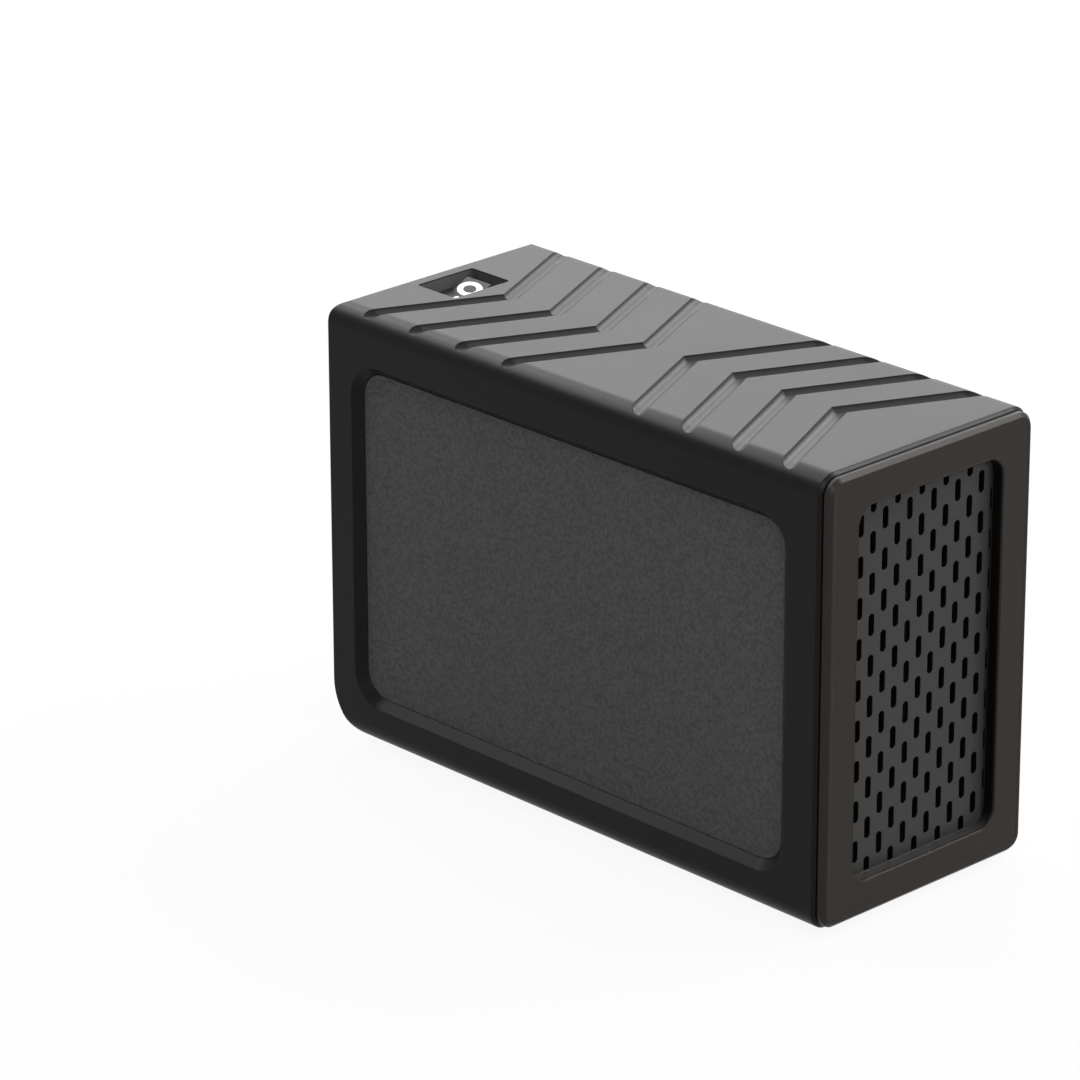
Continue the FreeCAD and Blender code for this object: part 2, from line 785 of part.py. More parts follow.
def filter_capacitors():
    x = board_rear_x - link_length - capacitor_radius - port_clearance
    cans = []
    for i in (-1, 0, 1):
        cans.append(rod_z(x, i * capacitor_spacing, port_board_top, port_board_top + capacitor_height,
                          capacitor_radius))
    return Part.makeCompound(cans)


def usb_cavities():
    """Lower and upper limits along Y of the wide and the narrow half of the opening."""
    low = usb_offset - usb_width / 2 + usb_wall
    high = usb_offset + usb_width / 2 - usb_wall
    split = high - usb_narrow_width
    return [(low, split - usb_split), (split, high)]


def usb_socket():
    z0 = usb_z - usb_height / 2
    z1 = usb_z + usb_height / 2
    shell = rounded_block_x(port_face_x, port_face_x + usb_length, usb_width / 2, z0, z1, 2 * usb_wall,
                            usb_offset)
    return shell.cut([box(port_face_x - cut_over, usb_back_x, y0, y1, z0 + usb_wall, z1 - usb_wall)
                      for y0, y1 in usb_cavities()])


def usb_tongue():
    half = usb_tongue_thickness / 2
    gap = 2 * usb_wall
    tongues = []
    for y0, y1 in usb_cavities():
        tongues.append(box(port_face_x + gap, usb_back_x, y0 + gap, y1 - gap, usb_z - half, usb_z + half))
    return Part.makeCompound(tongues)


def power_jack():
    half = jack_width / 2
    body = box(jack_body_x, jack_body_x + jack_length - jack_barrel_length, jack_offset - half,
               jack_offset + half, port_board_top, port_board_top + jack_height)
    body = body.fuse(rod_x(port_face_x, jack_body_x + cut_over, jack_offset, jack_z, jack_barrel_radius))
    bore = rod_x(port_face_x - cut_over, port_face_x + jack_bore_depth, jack_offset, jack_z, jack_bore_radius)
    return body.cut(bore)


def power_jack_pin():
    return rod_x(port_face_x + jack_pin_setback, port_face_x + jack_bore_depth, jack_offset, jack_z,
                 jack_pin_radius)


def rear_panel():
    fit = panel_clearance
    panel = rounded_block_x(rear_x, panel_front_x, panel_half - fit, panel_low_z + fit, panel_top_z - fit,
                            panel_radius - fit)
    cuts = []
    reach = fan_bore_radius - slot_width / 2
    columns = 2 * int(reach / column_pitch) + 1
    rows = 2 * int(reach / row_pitch) + 2
    disc = rod_x(rear_x - cut_over, panel_front_x + cut_over, 0, fan_z, reach)
    for slot in slot_field(rear_x - cut_over, panel_front_x + cut_over, fan_z, columns, rows):
        if not slot.cut(disc).Solids:
            cuts.append(slot)
    head_seat = rear_x + small_head_height
    for y, z in corner_points(panel_screw_y, panel_screw_low, panel_screw_top):
        cuts.append(rod_x(rear_x - cut_over, head_seat, y, z, small_head_radius + head_clearance))
        cuts.append(rod_x(rear_x, panel_front_x + cut_over, y, z, small_screw_radius + screw_clearance))
    half = fan_hole_spacing / 2
    for y, z in corner_points(half, fan_z - half, fan_z + half):
        cuts.append(rod_x(rear_x - cut_over, rear_x + fan_head_height, y, z,
                          fan_head_radius + head_clearance))
        cuts.append(rod_x(rear_x, panel_front_x + cut_over, y, z, fan_screw_radius + screw_clearance))
    tall = usb_height / 2 + port_clearance
    cuts.append(rounded_block_x(rear_x - cut_over, panel_front_x + cut_over, usb_width / 2 + port_clearance,
                                usb_z - tall, usb_z + tall, 2 * usb_wall + port_clearance, usb_offset))
    cuts.append(rod_x(rear_x - cut_over, panel_front_x + cut_over, jack_offset, jack_z,
                      jack_barrel_radius + port_clearance))
    return panel.cut(cuts)


def fan_frame():
    z0 = fan_z - fan_size / 2
    z1 = fan_z + fan_size / 2
    frame = rounded_block_x(fan_rear_x, fan_front_x, fan_size / 2, z0, z1, fan_corner_radius)
    ring = rod_x(fan_rear_x + fan_flange, fan_front_x - fan_flange, 0, fan_z,
                 fan_bore_radius + fan_ring_wall)
    waist = box(fan_rear_x + fan_flange, fan_front_x - fan_flange, -fan_size, fan_size, z0 - cut_over,
                z1 + cut_over).cut(ring)
    bore = rod_x(fan_rear_x - cut_over, fan_front_x + cut_over, 0, fan_z, fan_bore_radius)
    frame = frame.cut([waist, bore])
    base = rod_x(fan_rear_x, fan_base_x, 0, fan_z, fan_base_radius)
    tube = rod_x(fan_rear_x, hub_front_x - fan_tube_end_gap, 0, fan_z, fan_tube_radius)
    reach = fan_bore_radius + fan_ring_wall / 2
    half = fan_strut_width / 2
    struts = [box(fan_rear_x, fan_base_x, -reach, reach, fan_z - half, fan_z + half),
              box(fan_rear_x, fan_base_x, -half, half, fan_z - reach, fan_z + reach)]
    frame = frame.fuse([base, tube] + struts)
    spread = fan_hole_spacing / 2
    holes = [rod_x(fan_rear_x - cut_over, fan_front_x + cut_over, y, z, fan_screw_radius + screw_clearance)
             for y, z in corner_points(spread, fan_z - spread, fan_z + spread)]
    holes.append(rod_x(fan_base_x, fan_front_x, 0, fan_z, fan_shaft_radius + pin_clearance))
    return frame.cut(holes).removeSplitter()


def fan_stator():
    x1 = hub_front_x - fan_stator_end_gap
    ring = rod_x(fan_base_x, x1, 0, fan_z, fan_stator_radius)
    ring = ring.cut(rod_x(fan_base_x, x1, 0, fan_z, fan_tube_radius + screw_clearance))
    slots = []
    half = fan_stator_slot / 2
    for i in range(fan_stator_poles):
        gap = box(fan_base_x, x1, fan_tube_radius + fan_stator_slot, fan_stator_radius + cut_over,
                  -half, half)
        gap.rotate(point(0, 0, 0), along_x, 360.0 * (i + 0.5) / fan_stator_poles)
        gap.translate(along_z * fan_z)
        slots.append(gap)
    return ring.cut(slots)


def fan_blade():
    """Twisted blade pointing along +Y from the hub, about the X axis."""
    root = fan_hub_radius - fan_hub_wall / 2
    half_tip = fan_blade_tip_sweep / 2 + fan_blade_thickness
    tip = math.sqrt((fan_bore_radius - fan_tip_gap) ** 2 - half_tip ** 2)
    x0 = hub_rear_x + fan_hub_wall / 2
    x1 = hub_front_x - fan_hub_wall / 2
    wires = []
    for radius, sweep in ((root, fan_blade_root_sweep), (tip, fan_blade_tip_sweep)):
        thick = fan_blade_thickness / 2
        low = -sweep / 2
        high = sweep / 2
        wires.append(polygon([point(x0, radius, low - thick), point(x0, radius, low + thick),
                              point(x1, radius, high + thick), point(x1, radius, high - thick)]))
    return Part.makeLoft(wires, True, True)


def fan_rotor():
    cup = rod_x(hub_rear_x, hub_front_x, 0, 0, fan_hub_radius)
    cup = cup.cut(rod_x(hub_rear_x - cut_over, hub_front_x - fan_hub_wall, 0, 0,
                        fan_hub_radius - fan_hub_wall))
    shaft = rod_x(fan_base_x + fan_hub_gap / 2, hub_front_x - fan_hub_wall / 2, 0, 0, fan_shaft_radius)
    blades = []
    for i in range(fan_blades):
        blade = fan_blade()
        blade.rotate(point(0, 0, 0), along_x, 360.0 * i / fan_blades)
        blades.append(blade)
    rotor = cup.fuse([shaft] + blades)
    rotor.translate(along_z * fan_z)
    return rotor.removeSplitter()


def switch_body():
    bezel = rounded_block_z(well_x, well_y, well_floor_z, bezel_top_z, bezel_length, bezel_width,
                            well_corner_radius)
    body = rounded_block_z(well_x, well_y, switch_low_z, well_floor_z, switch_length, switch_width,
                           well_corner_radius / 2)
    cavity = rounded_block_z(well_x, well_y, bezel_top_z - switch_cavity_depth, bezel_top_z + cut_over,
                             cavity_length, cavity_width, well_corner_radius / 2)
    reach = cavity_length / 2 + rocker_pin_length
    pins = rod_x(well_x - reach, well_x + reach, well_y, pivot_z, rocker_pin_radius + pin_clearance)
    return bezel.fuse(body).cut([cavity, pins]).removeSplitter()


def switch_rocker():
    """Two facets that meet in a shallow valley, on trunnion pins, with the +Y end up."""
    half_y = cavity_width / 2 - rocker_end_gap
    rise = math.tan(math.radians(rocker_tilt))
    end = half_y / math.sqrt(1 + (rise + rocker_crest / half_y) ** 2)
    tip = rocker_crest + end * rise
    half_x = cavity_length / 2 - rocker_gap
    x0 = well_x - half_x
    outline = polygon([point(x0, -end, tip), point(x0, 0, rocker_crest), point(x0, end, tip),
                       point(x0, end - rocker_end_lean, 0), point(x0, rocker_foot_half, -rocker_foot),
                       point(x0, -rocker_foot_half, -rocker_foot), point(x0, rocker_end_lean - end, 0)])
    rocker = prism(outline, along_x * 2 * half_x)
    reach = cavity_length / 2 + rocker_pin_length - rocker_gap
    rocker = rocker.fuse(rod_x(well_x - reach, well_x + reach, 0, 0, rocker_pin_radius))
    rocker.rotate(point(well_x, 0, 0), along_x, rocker_tilt)
    rocker.translate(point(0, well_y, pivot_z))
    return rocker.removeSplitter()


def switch_terminals():
    half_w = terminal_width / 2
    half_t = terminal_thickness / 2
    blades = []
    for side in (-1, 1):
        y = well_y + side * terminal_spacing / 2
        blades.append(box(well_x - half_w, well_x + half_w, y - half_t, y + half_t,
                          switch_low_z - terminal_length, switch_low_z))
    return Part.makeCompound(blades)


def rear_panel_screws():
    length = panel_thickness - small_head_height + panel_boss_length
    one = screw(small_screw_radius, small_head_radius, small_head_height, length)
    points = corner_points(panel_screw_y, panel_screw_low, panel_screw_top)
    return Part.makeCompound([placed(one, rear_x, y, z, -along_x) for y, z in points])


def fan_screws():
    length = panel_thickness - fan_head_height + fan_flange
    one = screw(fan_screw_radius, fan_head_radius, fan_head_height, length)
    half = fan_hole_spacing / 2
    points = corner_points(half, fan_z - half, fan_z + half)
    return Part.makeCompound([placed(one, rear_x, y, z, -along_x) for y, z in points])


def bay_screws():
    length = floor_wall - small_head_height + cage_low - inner_low - screw_end_gap
    one = screw(small_screw_radius, small_head_radius, small_head_height, length)
    return Part.makeCompound([placed(one, x, y, base_z, -along_z) for x, y in bay_boss_points()])


def backplane_screws():
    length = board_thickness + board_post_hole - screw_end_gap
    one = screw(small_screw_radius, small_head_radius, small_head_height, length)
    points = corner_points(post_y, post_low_z, post_top_z)
    head_x = board_rear_x - small_head_height
    return Part.makeCompound([placed(one, head_x, y, z, -along_x) for y, z in points])


def port_board_screws():
    length = board_thickness + port_post_radius
    one = screw(small_screw_radius, small_head_radius, small_head_height, length)
    return Part.makeCompound([placed(one, port_post_x, side * port_post_spread / 2,
                                     port_board_top + small_head_height) for side in (-1, 1)])


nodes = {
    "outer_shell": outer_shell(),
    "right_side_panel": side_panel(-1),
    "left_side_panel": side_panel(1),
    "rubber_feet": rubber_feet(),
    "front_door": front_door(),
    "door_magnets": discs(door_rim_back_x),
    "catch_plates": discs(flange_front_x - magnet_height),
    "bay_flange": bay_flange(),
    "bay_floor": bay_floor(),
    "bay_roof": bay_roof(),
    "right_bay_wall": bay_wall_plate(-1),
    "left_bay_wall": bay_wall_plate(1),
    "bay_divider": bay_divider(),
    "bay_screws": bay_screws(),
    "backplane_board": backplane_board(),
    "backplane_screws": backplane_screws(),
    "right_sata_socket": sata_socket(-1),
    "left_sata_socket": sata_socket(1),
    "bridge_chip": bridge_chip(),
    "port_board": port_board(),
    "port_board_screws": port_board_screws(),
    "board_link": board_link(),
    "filter_capacitors": filter_capacitors(),
    "usb_socket": usb_socket(),
    "usb_tongue": usb_tongue(),
    "power_jack": power_jack(),
    "power_jack_pin": power_jack_pin(),
    "rear_panel": rear_panel(),
    "rear_panel_screws": rear_panel_screws(),
    "fan_frame": fan_frame(),
    "fan_stator": fan_stator(),
    "fan_rotor": fan_rotor(),
    "fan_screws": fan_screws(),
    "switch_body": switch_body(),
    "switch_rocker": switch_rocker(),
    "switch_terminals": switch_terminals(),
}

os.makedirs("parts", exist_ok=True)
for name, shape in nodes.items():
    shape.exportStep(os.path.join("parts", name + ".step"))
    print(name, len(shape.Solids), round(shape.Volume, 1), shape.isValid())
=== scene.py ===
"""Finishes, fine detail and studio for a two-bay drive docking station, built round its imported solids."""

import math

import bpy
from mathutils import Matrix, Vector


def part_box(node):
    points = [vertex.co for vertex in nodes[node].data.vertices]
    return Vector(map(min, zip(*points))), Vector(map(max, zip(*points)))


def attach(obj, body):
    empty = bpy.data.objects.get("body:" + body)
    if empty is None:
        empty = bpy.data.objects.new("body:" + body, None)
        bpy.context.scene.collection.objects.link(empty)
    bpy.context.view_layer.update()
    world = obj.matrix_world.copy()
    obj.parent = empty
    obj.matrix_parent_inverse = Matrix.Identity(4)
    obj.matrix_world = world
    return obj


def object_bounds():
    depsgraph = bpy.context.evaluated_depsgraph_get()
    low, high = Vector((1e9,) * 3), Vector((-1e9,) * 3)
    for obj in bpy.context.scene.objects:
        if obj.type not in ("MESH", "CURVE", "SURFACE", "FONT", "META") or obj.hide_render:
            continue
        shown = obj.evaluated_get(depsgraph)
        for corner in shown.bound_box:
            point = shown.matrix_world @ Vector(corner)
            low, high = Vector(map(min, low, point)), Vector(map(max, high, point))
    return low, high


bl_info = {
    "name": "Drive Dock Dresser",
    "version": (1, 0, 0),
    "blender": (4, 5, 0),
    "location": "View3D > Sidebar > Dock",
    "description": "Gives a two-bay drive dock its finishes, fine detail and studio",
    "category": "Object",
}

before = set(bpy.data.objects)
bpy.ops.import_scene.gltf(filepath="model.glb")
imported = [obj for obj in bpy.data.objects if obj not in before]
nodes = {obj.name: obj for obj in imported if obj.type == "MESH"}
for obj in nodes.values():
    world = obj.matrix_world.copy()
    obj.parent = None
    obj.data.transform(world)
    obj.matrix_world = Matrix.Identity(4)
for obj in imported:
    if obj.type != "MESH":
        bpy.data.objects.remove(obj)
cad_low, cad_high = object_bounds()

MM = 0.001

# Recess of the door: half its width and height with a little over, its depth, and its slotted floor
RECESS_HALF_Y = 29.3 * MM
RECESS_HALF_Z = 55.9 * MM
RECESS_DEPTH = 3.9 * MM
RECESS_STEP = 0.05 * MM
GRILLE_THICKNESS = 1.4 * MM
GRILLE_COLOUR_DEPTH = 0.25 * RECESS_DEPTH
GRILLE_COLOUR_STEP = 0.4 * MM

# Painted shade in the recess: clear skin at the floor's faces, reach from the right wall and the mouth,
# strength
SHADE_BLACK = (0.001, 0.001, 0.001)
SHADE_STRENGTH = 0.92
SHADE_SKIN = 0.08 * MM
SHADE_STEP = 0.03 * MM
WALL_SHADE, WALL_STEP = 3.0 * MM, 2.5 * MM
MOUTH_SHADE, MOUTH_STEP = 0.9 * MM, 0.8 * MM
CORNER_SHADE, CORNER_STEP = 1.6 * MM, 1.4 * MM
CORNER_SHARE = 0.8

# Top grooves: depths between which light is painted into them as a paler colour, and the steps of that
GROOVE_MOUTH, GROOVE_MOUTH_STEP = 0.35 * MM, 0.2 * MM
GROOVE_FLOOR, GROOVE_FLOOR_STEP = 1.7 * MM, 0.1 * MM
ROUNDING_STEP = 0.6 * MM
WELL_STEP = 0.1 * MM

# Moulded plastic: its grain and flow clouds as noise, and how far each moves the gloss
GRAIN_DETAIL = 3.0
GRAIN_ROUGHNESS = 0.6
GRAIN_GLOSS = 0.08
CLOUD_SCALE = 22.0
CLOUD_DETAIL = 3.0
CLOUD_ROUGHNESS = 0.55
CLOUD_GLOSS = 0.05
SHELL_GRAIN = 1400.0
DOOR_GRAIN = 1200.0
SATIN_GRAIN_DEPTH = 0.012 * MM

# Sandy plates: share of the fine sand in the mottle, and the depth and edge of the relief
SAND_SHARE = 0.7
SAND_DEPTH = 0.05 * MM
PLATE_EDGE = 0.3 * MM

# Colours of small pieces
CONNECTOR_BLACK = (0.012, 0.012, 0.012)
CHIP_BLACK = (0.02, 0.02, 0.022)
CAN_SILVER = (0.70, 0.71, 0.72)
PORT_STEEL = (0.62, 0.62, 0.61)
BRASS = (0.80, 0.60, 0.30)
WINDING_COPPER = (0.55, 0.23, 0.11)
SCREW_BLACK = (0.06, 0.06, 0.065)
PLATED_STEEL = (0.60, 0.60, 0.58)
NICKEL = (0.74, 0.72, 0.68)
GILT = (0.86, 0.66, 0.30)
LEAD_TIN = (0.68, 0.68, 0.66)
CERAMIC = (0.20, 0.14, 0.09)
WHITE = (1.0, 1.0, 1.0)

# Contacts and small parts: how many in a row, and how their edges are rounded
POWER_STRIPS = 15
DATA_STRIPS = 7
TONGUE_PINS = 5
LOW_PARTS = 5
HIGH_PARTS = 3
STRIP_EDGE = 0.05 * MM
PIN_THICKNESS, PIN_EDGE = 0.06 * MM, 0.02 * MM
PART_EDGE = 0.1 * MM

# Faces this close to the back of a ring count as its back
BACK_SKIN = 0.01 * MM

# Studio: place and size of each light panel, whose power is the setting of that name; floor and camera
PANELS = (
    ("back_panel", (-0.95, 0.90, 0.85), (1.7, 1.1)),
    ("groove_panel", (-0.25, 1.39, 0.86), (0.5, 0.5)),
    ("edge_panel", (-1.16, -0.14, 1.17), (1.2, 0.4)),
    ("rim_panel", (0.49, 1.06, 1.16), (0.8, 0.4)),
    ("front_panel", (1.60, 0.45, 0.75), (0.9, 0.9)),
    ("side_panel", (1.32, -0.86, 1.09), (1.2, 0.7)),
    ("top_panel", (0.15, 0.10, 1.60), (1.0, 0.8)),
)
FLOOR_SIZE = 12.0
FLOOR_DROP = 0.2 * MM
FLOOR_WHITE = 0.92
SENSOR_WIDTH = 36.0
CLIP_NEAR, CLIP_FAR = 0.05, 50.0


class Wire:
    """An output socket of a finish. Arithmetic on it adds Math nodes."""

    def __init__(self, finish, socket):
        self.finish = finish
        self.socket = socket

    def maths(self, operation, *values):
        inputs = dict(enumerate(values))
        return self.finish.node("ShaderNodeMath", {"operation": operation}, inputs)

    def __add__(self, other):
        return self.maths("ADD", self, other)

    def __radd__(self, other):
        return self.maths("ADD", other, self)

    def __sub__(self, other):
        return self.maths("SUBTRACT", self, other)

    def __rsub__(self, other):
        return self.maths("SUBTRACT", other, self)

    def __mul__(self, other):
        return self.maths("MULTIPLY", self, other)

    def __rmul__(self, other):
        return self.maths("MULTIPLY", other, self)

    def over(self, edge, soft):
        """0 well below the edge, 1 well above it, with a soft step between."""
        inputs = {"Value": self, "From Min": edge - soft, "From Max": edge + soft}
        return self.finish.node("ShaderNodeMapRange", {"interpolation_type": "SMOOTHSTEP"}, inputs)

    def under(self, edge, soft):
        return 1.0 - self.over(edge, soft)

    def larger(self, other):
        return self.maths("MAXIMUM", self, other)

    def size(self):
        return self.maths("ABSOLUTE", self)


class Finish:
    """A node material, or the world, while its nodes are being laid."""

    def __init__(self, owner):
        owner.use_nodes = True
        self.owner = owner
        self.tree = owner.node_tree
        self.tree.nodes.clear()

    def node(self, kind, settings=None, inputs=None, output=0):
        """Adds one node, sets it up, feeds its sockets and gives back one of its outputs."""
        node = self.tree.nodes.new(kind)
        for name, value in (settings or {}).items():
            setattr(node, name, value)
        for key, value in (inputs or {}).items():
            if isinstance(value, Wire):
                self.tree.links.new(value.socket, node.inputs[key])
            else:
                node.inputs[key].default_value = value
        return Wire(self, node.outputs[output]) if node.outputs else None

    def place(self):
        """Object coordinates."""
        return self.node("ShaderNodeTexCoord", output="Object")

    def noise(self, scale, detail=2.0, roughness=0.5, vector=None):
        inputs = {"Vector": vector or self.place(), "Scale": scale, "Detail": detail,
                  "Roughness": roughness}
        return self.node("ShaderNodeTexNoise", inputs=inputs)

    def stretched(self, factors):
        """Object coordinates scaled differently along each axis."""
        return self.node("ShaderNodeMapping", inputs={"Vector": self.place(), "Scale": factors})

    def between(self, factor, colour_a, colour_b):
        """Colour that runs from one to the other with the factor."""
        inputs = {0: factor, 6: colour_a, 7: colour_b}
        return self.node("ShaderNodeMix", {"data_type": "RGBA"}, inputs, output=2)

    def soft_edges(self, radius):
        return self.node("ShaderNodeBevel", {"samples": 6}, {"Radius": radius})

    def bump(self, height, depth, normal):
        inputs = {"Height": height, "Distance": depth, "Strength": 1.0, "Normal": normal}
        return self.node("ShaderNodeBump", inputs=inputs)

    def across(self, axis):
        """Object coordinate along one axis."""
        return self.node("ShaderNodeSeparateXYZ", inputs={0: self.place()}, output=axis)

    def principled(self, **inputs):
        """Principled shader fed by the given sockets."""
        named = {key.replace("_", " ").title(): value for key, value in inputs.items()}
        if "Specular" in named:
            named["Specular IOR Level"] = named.pop("Specular")
        return self.node("ShaderNodeBsdfPrincipled", inputs=named)

    def surface(self, **inputs):
        return self.finished(self.principled(**inputs))

    def finished(self, shader):
        self.node("ShaderNodeOutputMaterial", inputs={"Surface": shader})
        return self.owner


def solid(colour):
    return (colour[0], colour[1], colour[2], 1.0)


def shade(colour, factor):
    return (colour[0] * factor, colour[1] * factor, colour[2] * factor, 1.0)


def new_finish(name):
    return Finish(bpy.data.materials.new(name))


def mould_marks(finish, grain):
    """Fine spark-eroded grain, and the broad clouds that flowing plastic leaves."""
    fine = finish.noise(grain, GRAIN_DETAIL, GRAIN_ROUGHNESS)
    clouds = finish.noise(CLOUD_SCALE, CLOUD_DETAIL, CLOUD_ROUGHNESS)
    return fine, clouds


def uneven_gloss(roughness, fine, clouds):
    """Roughness that wanders a little with the grain and the clouds."""
    return roughness + CLOUD_GLOSS * (clouds - 0.5) + GRAIN_GLOSS * (fine - 0.5)


def varied(finish, factor, colour, spread):
    """Colour that runs from a little darker to a little paler with the factor."""
    return finish.between(factor, shade(colour, 1.0 - spread), shade(colour, 1.0 + spread))


def moulded_plastic(name, colour, roughness, specular, grain, grain_depth, edge):
    """Injection-moulded plastic: a spark-eroded grain, faint flow clouds and softened edges."""
    finish = new_finish(name)
    fine, clouds = mould_marks(finish, grain)
    colours = varied(finish, clouds, colour, 0.1)
    gloss = uneven_gloss(roughness, fine, clouds)
    normal = finish.bump(fine, grain_depth, finish.soft_edges(edge))
    return finish.surface(base_color=colours, roughness=gloss, specular=specular, normal=normal)


def shell_plastic(name, look, edge):
    """Satin moulded shell, with light painted as a paler colour down in its grooves and on the walls of the
    switch well.
    """
    finish = new_finish(name)
    fine, clouds = mould_marks(finish, SHELL_GRAIN)
    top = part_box("outer_shell")[1]
    depth = top.z - finish.across("Z")
    below = depth.over(GROOVE_MOUTH, GROOVE_MOUTH_STEP)
    flat = finish.across("Y").size().under(top.y - look.shell_rounding, ROUNDING_STEP)
    groove_light = below * depth.under(GROOVE_FLOOR, GROOVE_FLOOR_STEP) * flat
    # Painted light: the walls of the switch well, to the margin past the switch, are painted a paler grey
    low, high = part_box("switch_body")
    middle, reach = (low + high) / 2, (high - low) / 2
    along = (finish.across("X") - middle.x).size().under(reach.x + look.well_margin, WELL_STEP)
    beside = (finish.across("Y") - middle.y).size().under(reach.y + look.well_margin, WELL_STEP)
    smooth = varied(finish, clouds, look.shell, 0.1)
    # Painted light: the grooves are painted a paler black in place of the light that they catch
    with_groove_light = finish.between(groove_light, smooth, varied(finish, fine, look.groove_light, 0.15))
    colours = finish.between(along * beside * below, with_groove_light, solid(look.painted_well_light))
    gloss = uneven_gloss(look.shell_roughness, fine, clouds)
    normal = finish.bump(fine, SATIN_GRAIN_DEPTH, finish.soft_edges(edge))
    return finish.surface(base_color=colours, roughness=gloss, specular=look.shell_specular, normal=normal)


def door_plastic(name, look, edge):
    """Moulded door: warm frame, paler grille, and painted deep shade on the recess's right wall and in the
    slots.
    """
    finish = new_finish(name)
    fine, clouds = mould_marks(finish, DOOR_GRAIN)
    x, y, z = [finish.across(axis) for axis in "XYZ"]
    low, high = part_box("front_door")
    middle = (low + high) / 2
    within_y = (y - middle.y).size().under(RECESS_HALF_Y, RECESS_STEP)
    within_z = (z - middle.z).size().under(RECESS_HALF_Z, RECESS_STEP)
    inside = within_y * within_z
    behind = inside * x.under(high.x - GRILLE_COLOUR_DEPTH, GRILLE_COLOUR_STEP)
    frame_colour = varied(finish, clouds, look.door, 0.07)
    grille_colour = varied(finish, fine, look.grille, 0.12)
    colours = finish.between(behind, frame_colour, grille_colour)
    gloss = uneven_gloss(look.door_roughness, fine, clouds)
    normal = finish.bump(fine, SATIN_GRAIN_DEPTH, finish.soft_edges(edge))
    plastic = finish.principled(
        base_color=colours, roughness=gloss, specular=look.door_specular, normal=normal)
    # Painted shade: a near-black diffuse is mixed in on the recess's right wall, in the slots and in the
    # corner by that wall
    shadow = finish.node("ShaderNodeBsdfDiffuse", inputs={"Color": solid(SHADE_BLACK)})
    right = middle.y + RECESS_HALF_Y
    floor = high.x - RECESS_DEPTH
    above_floor = x.over(floor + SHADE_SKIN, SHADE_STEP)
    in_floor = x.under(floor - SHADE_SKIN, SHADE_STEP)
    before_back = x.over(floor - GRILLE_THICKNESS + SHADE_SKIN, SHADE_STEP)
    under_mouth = x.under(high.x - MOUTH_SHADE, MOUTH_STEP)
    shaded_wall = y.over(right - WALL_SHADE, WALL_STEP) * above_floor * under_mouth
    shaded_slots = in_floor * before_back
    corner = y.over(right - CORNER_SHADE, CORNER_STEP) * CORNER_SHARE * behind
    # depth here is the mask of the painted shade, not a depth
    depth = inside * shaded_wall.larger(shaded_slots).larger(corner)
    mixed = {0: depth * SHADE_STRENGTH, 1: plastic, 2: shadow}
    return finish.finished(finish.node("ShaderNodeMixShader", inputs=mixed))


def grained_plate(name, colour, roughness, specular, grain):
    """Matte plate with a sandy grain: dark pits and pale grains scattered over grey."""
    finish = new_finish(name)
    sand = finish.noise(grain, 2.0, 0.7)
    coarse = finish.noise(grain / 4.0, 2.0, 0.5) * (1.0 - SAND_SHARE)
    speckle = sand.over(0.5, 0.16)
    colours = varied(finish, speckle * SAND_SHARE + coarse, colour, 0.28)
    gloss = roughness + 0.15 * (sand - 0.5)
    normal = finish.bump(sand * SAND_SHARE + coarse, SAND_DEPTH, finish.soft_edges(PLATE_EDGE))
    return finish.surface(base_color=colours, roughness=gloss, specular=specular, normal=normal)


def metal(name, colour, roughness, edge):
    """Plated metal with fine scuffs across its gloss."""
    finish = new_finish(name)
    scuffs = finish.noise(60.0, 4.0, 0.65, finish.stretched((1.0, 8.0, 8.0)))
    gloss = roughness + 0.14 * (scuffs - 0.5)
    colours = finish.between(scuffs, shade(colour, 0.88), shade(colour, 1.06))
    return finish.surface(base_color=colours, metallic=1.0, roughness=gloss, normal=finish.soft_edges(edge))


def solder_mask(name, colour, copper):
    """Green board lacquer over a grid of slightly raised copper tracks."""
    finish = new_finish(name)
    inputs = {"Vector": finish.place(), "Scale": 260.0}
    cells = finish.node("ShaderNodeTexVoronoi", {"feature": "DISTANCE_TO_EDGE"}, inputs)
    tracks = 1.0 - cells.over(0.06, 0.03)
    weave = finish.noise(900.0, 1.0)
    colours = finish.between(tracks, shade(colour, 0.85), shade(copper, 1.0))
    gloss = 0.32 + 0.1 * (weave - 0.5)
    normal = finish.bump(tracks, 0.03 * MM, finish.soft_edges(0.15 * MM))
    return finish.surface(base_color=colours, roughness=gloss, specular=0.5, normal=normal)


def print_ink(name, colour):
    """Pad-printed white ink, slightly uneven where it lies on the plastic."""
    finish = new_finish(name)
    patch = finish.noise(2600.0, 2.0)
    colours = finish.between(patch, shade(colour, 0.95), solid(colour))
    return finish.surface(base_color=colours, roughness=0.45 + 0.1 * (patch - 0.5), specular=0.4)


def block(place, size, edge=0.0):
    """New block of the given size with its edges rounded over."""
    bpy.ops.object.select_all(action="DESELECT")
    bpy.ops.mesh.primitive_cube_add(size=1.0, location=place)
    bpy.ops.object.mode_set(mode="EDIT")
    bpy.ops.mesh.select_all(action="SELECT")
    bpy.ops.transform.resize(value=size)
    if edge:
        bpy.ops.mesh.bevel(offset=edge, segments=2)
    bpy.ops.object.mode_set(mode="OBJECT")
    return bpy.context.object


def repeat(piece, count, step):
    """Row of equal pieces, a step apart."""
    row = piece.modifiers.new("row", "ARRAY")
    row.count = count
    row.use_relative_offset = False
    row.use_constant_offset = True
    row.constant_offset_displace = step
    apply_modifiers(piece)
    return piece


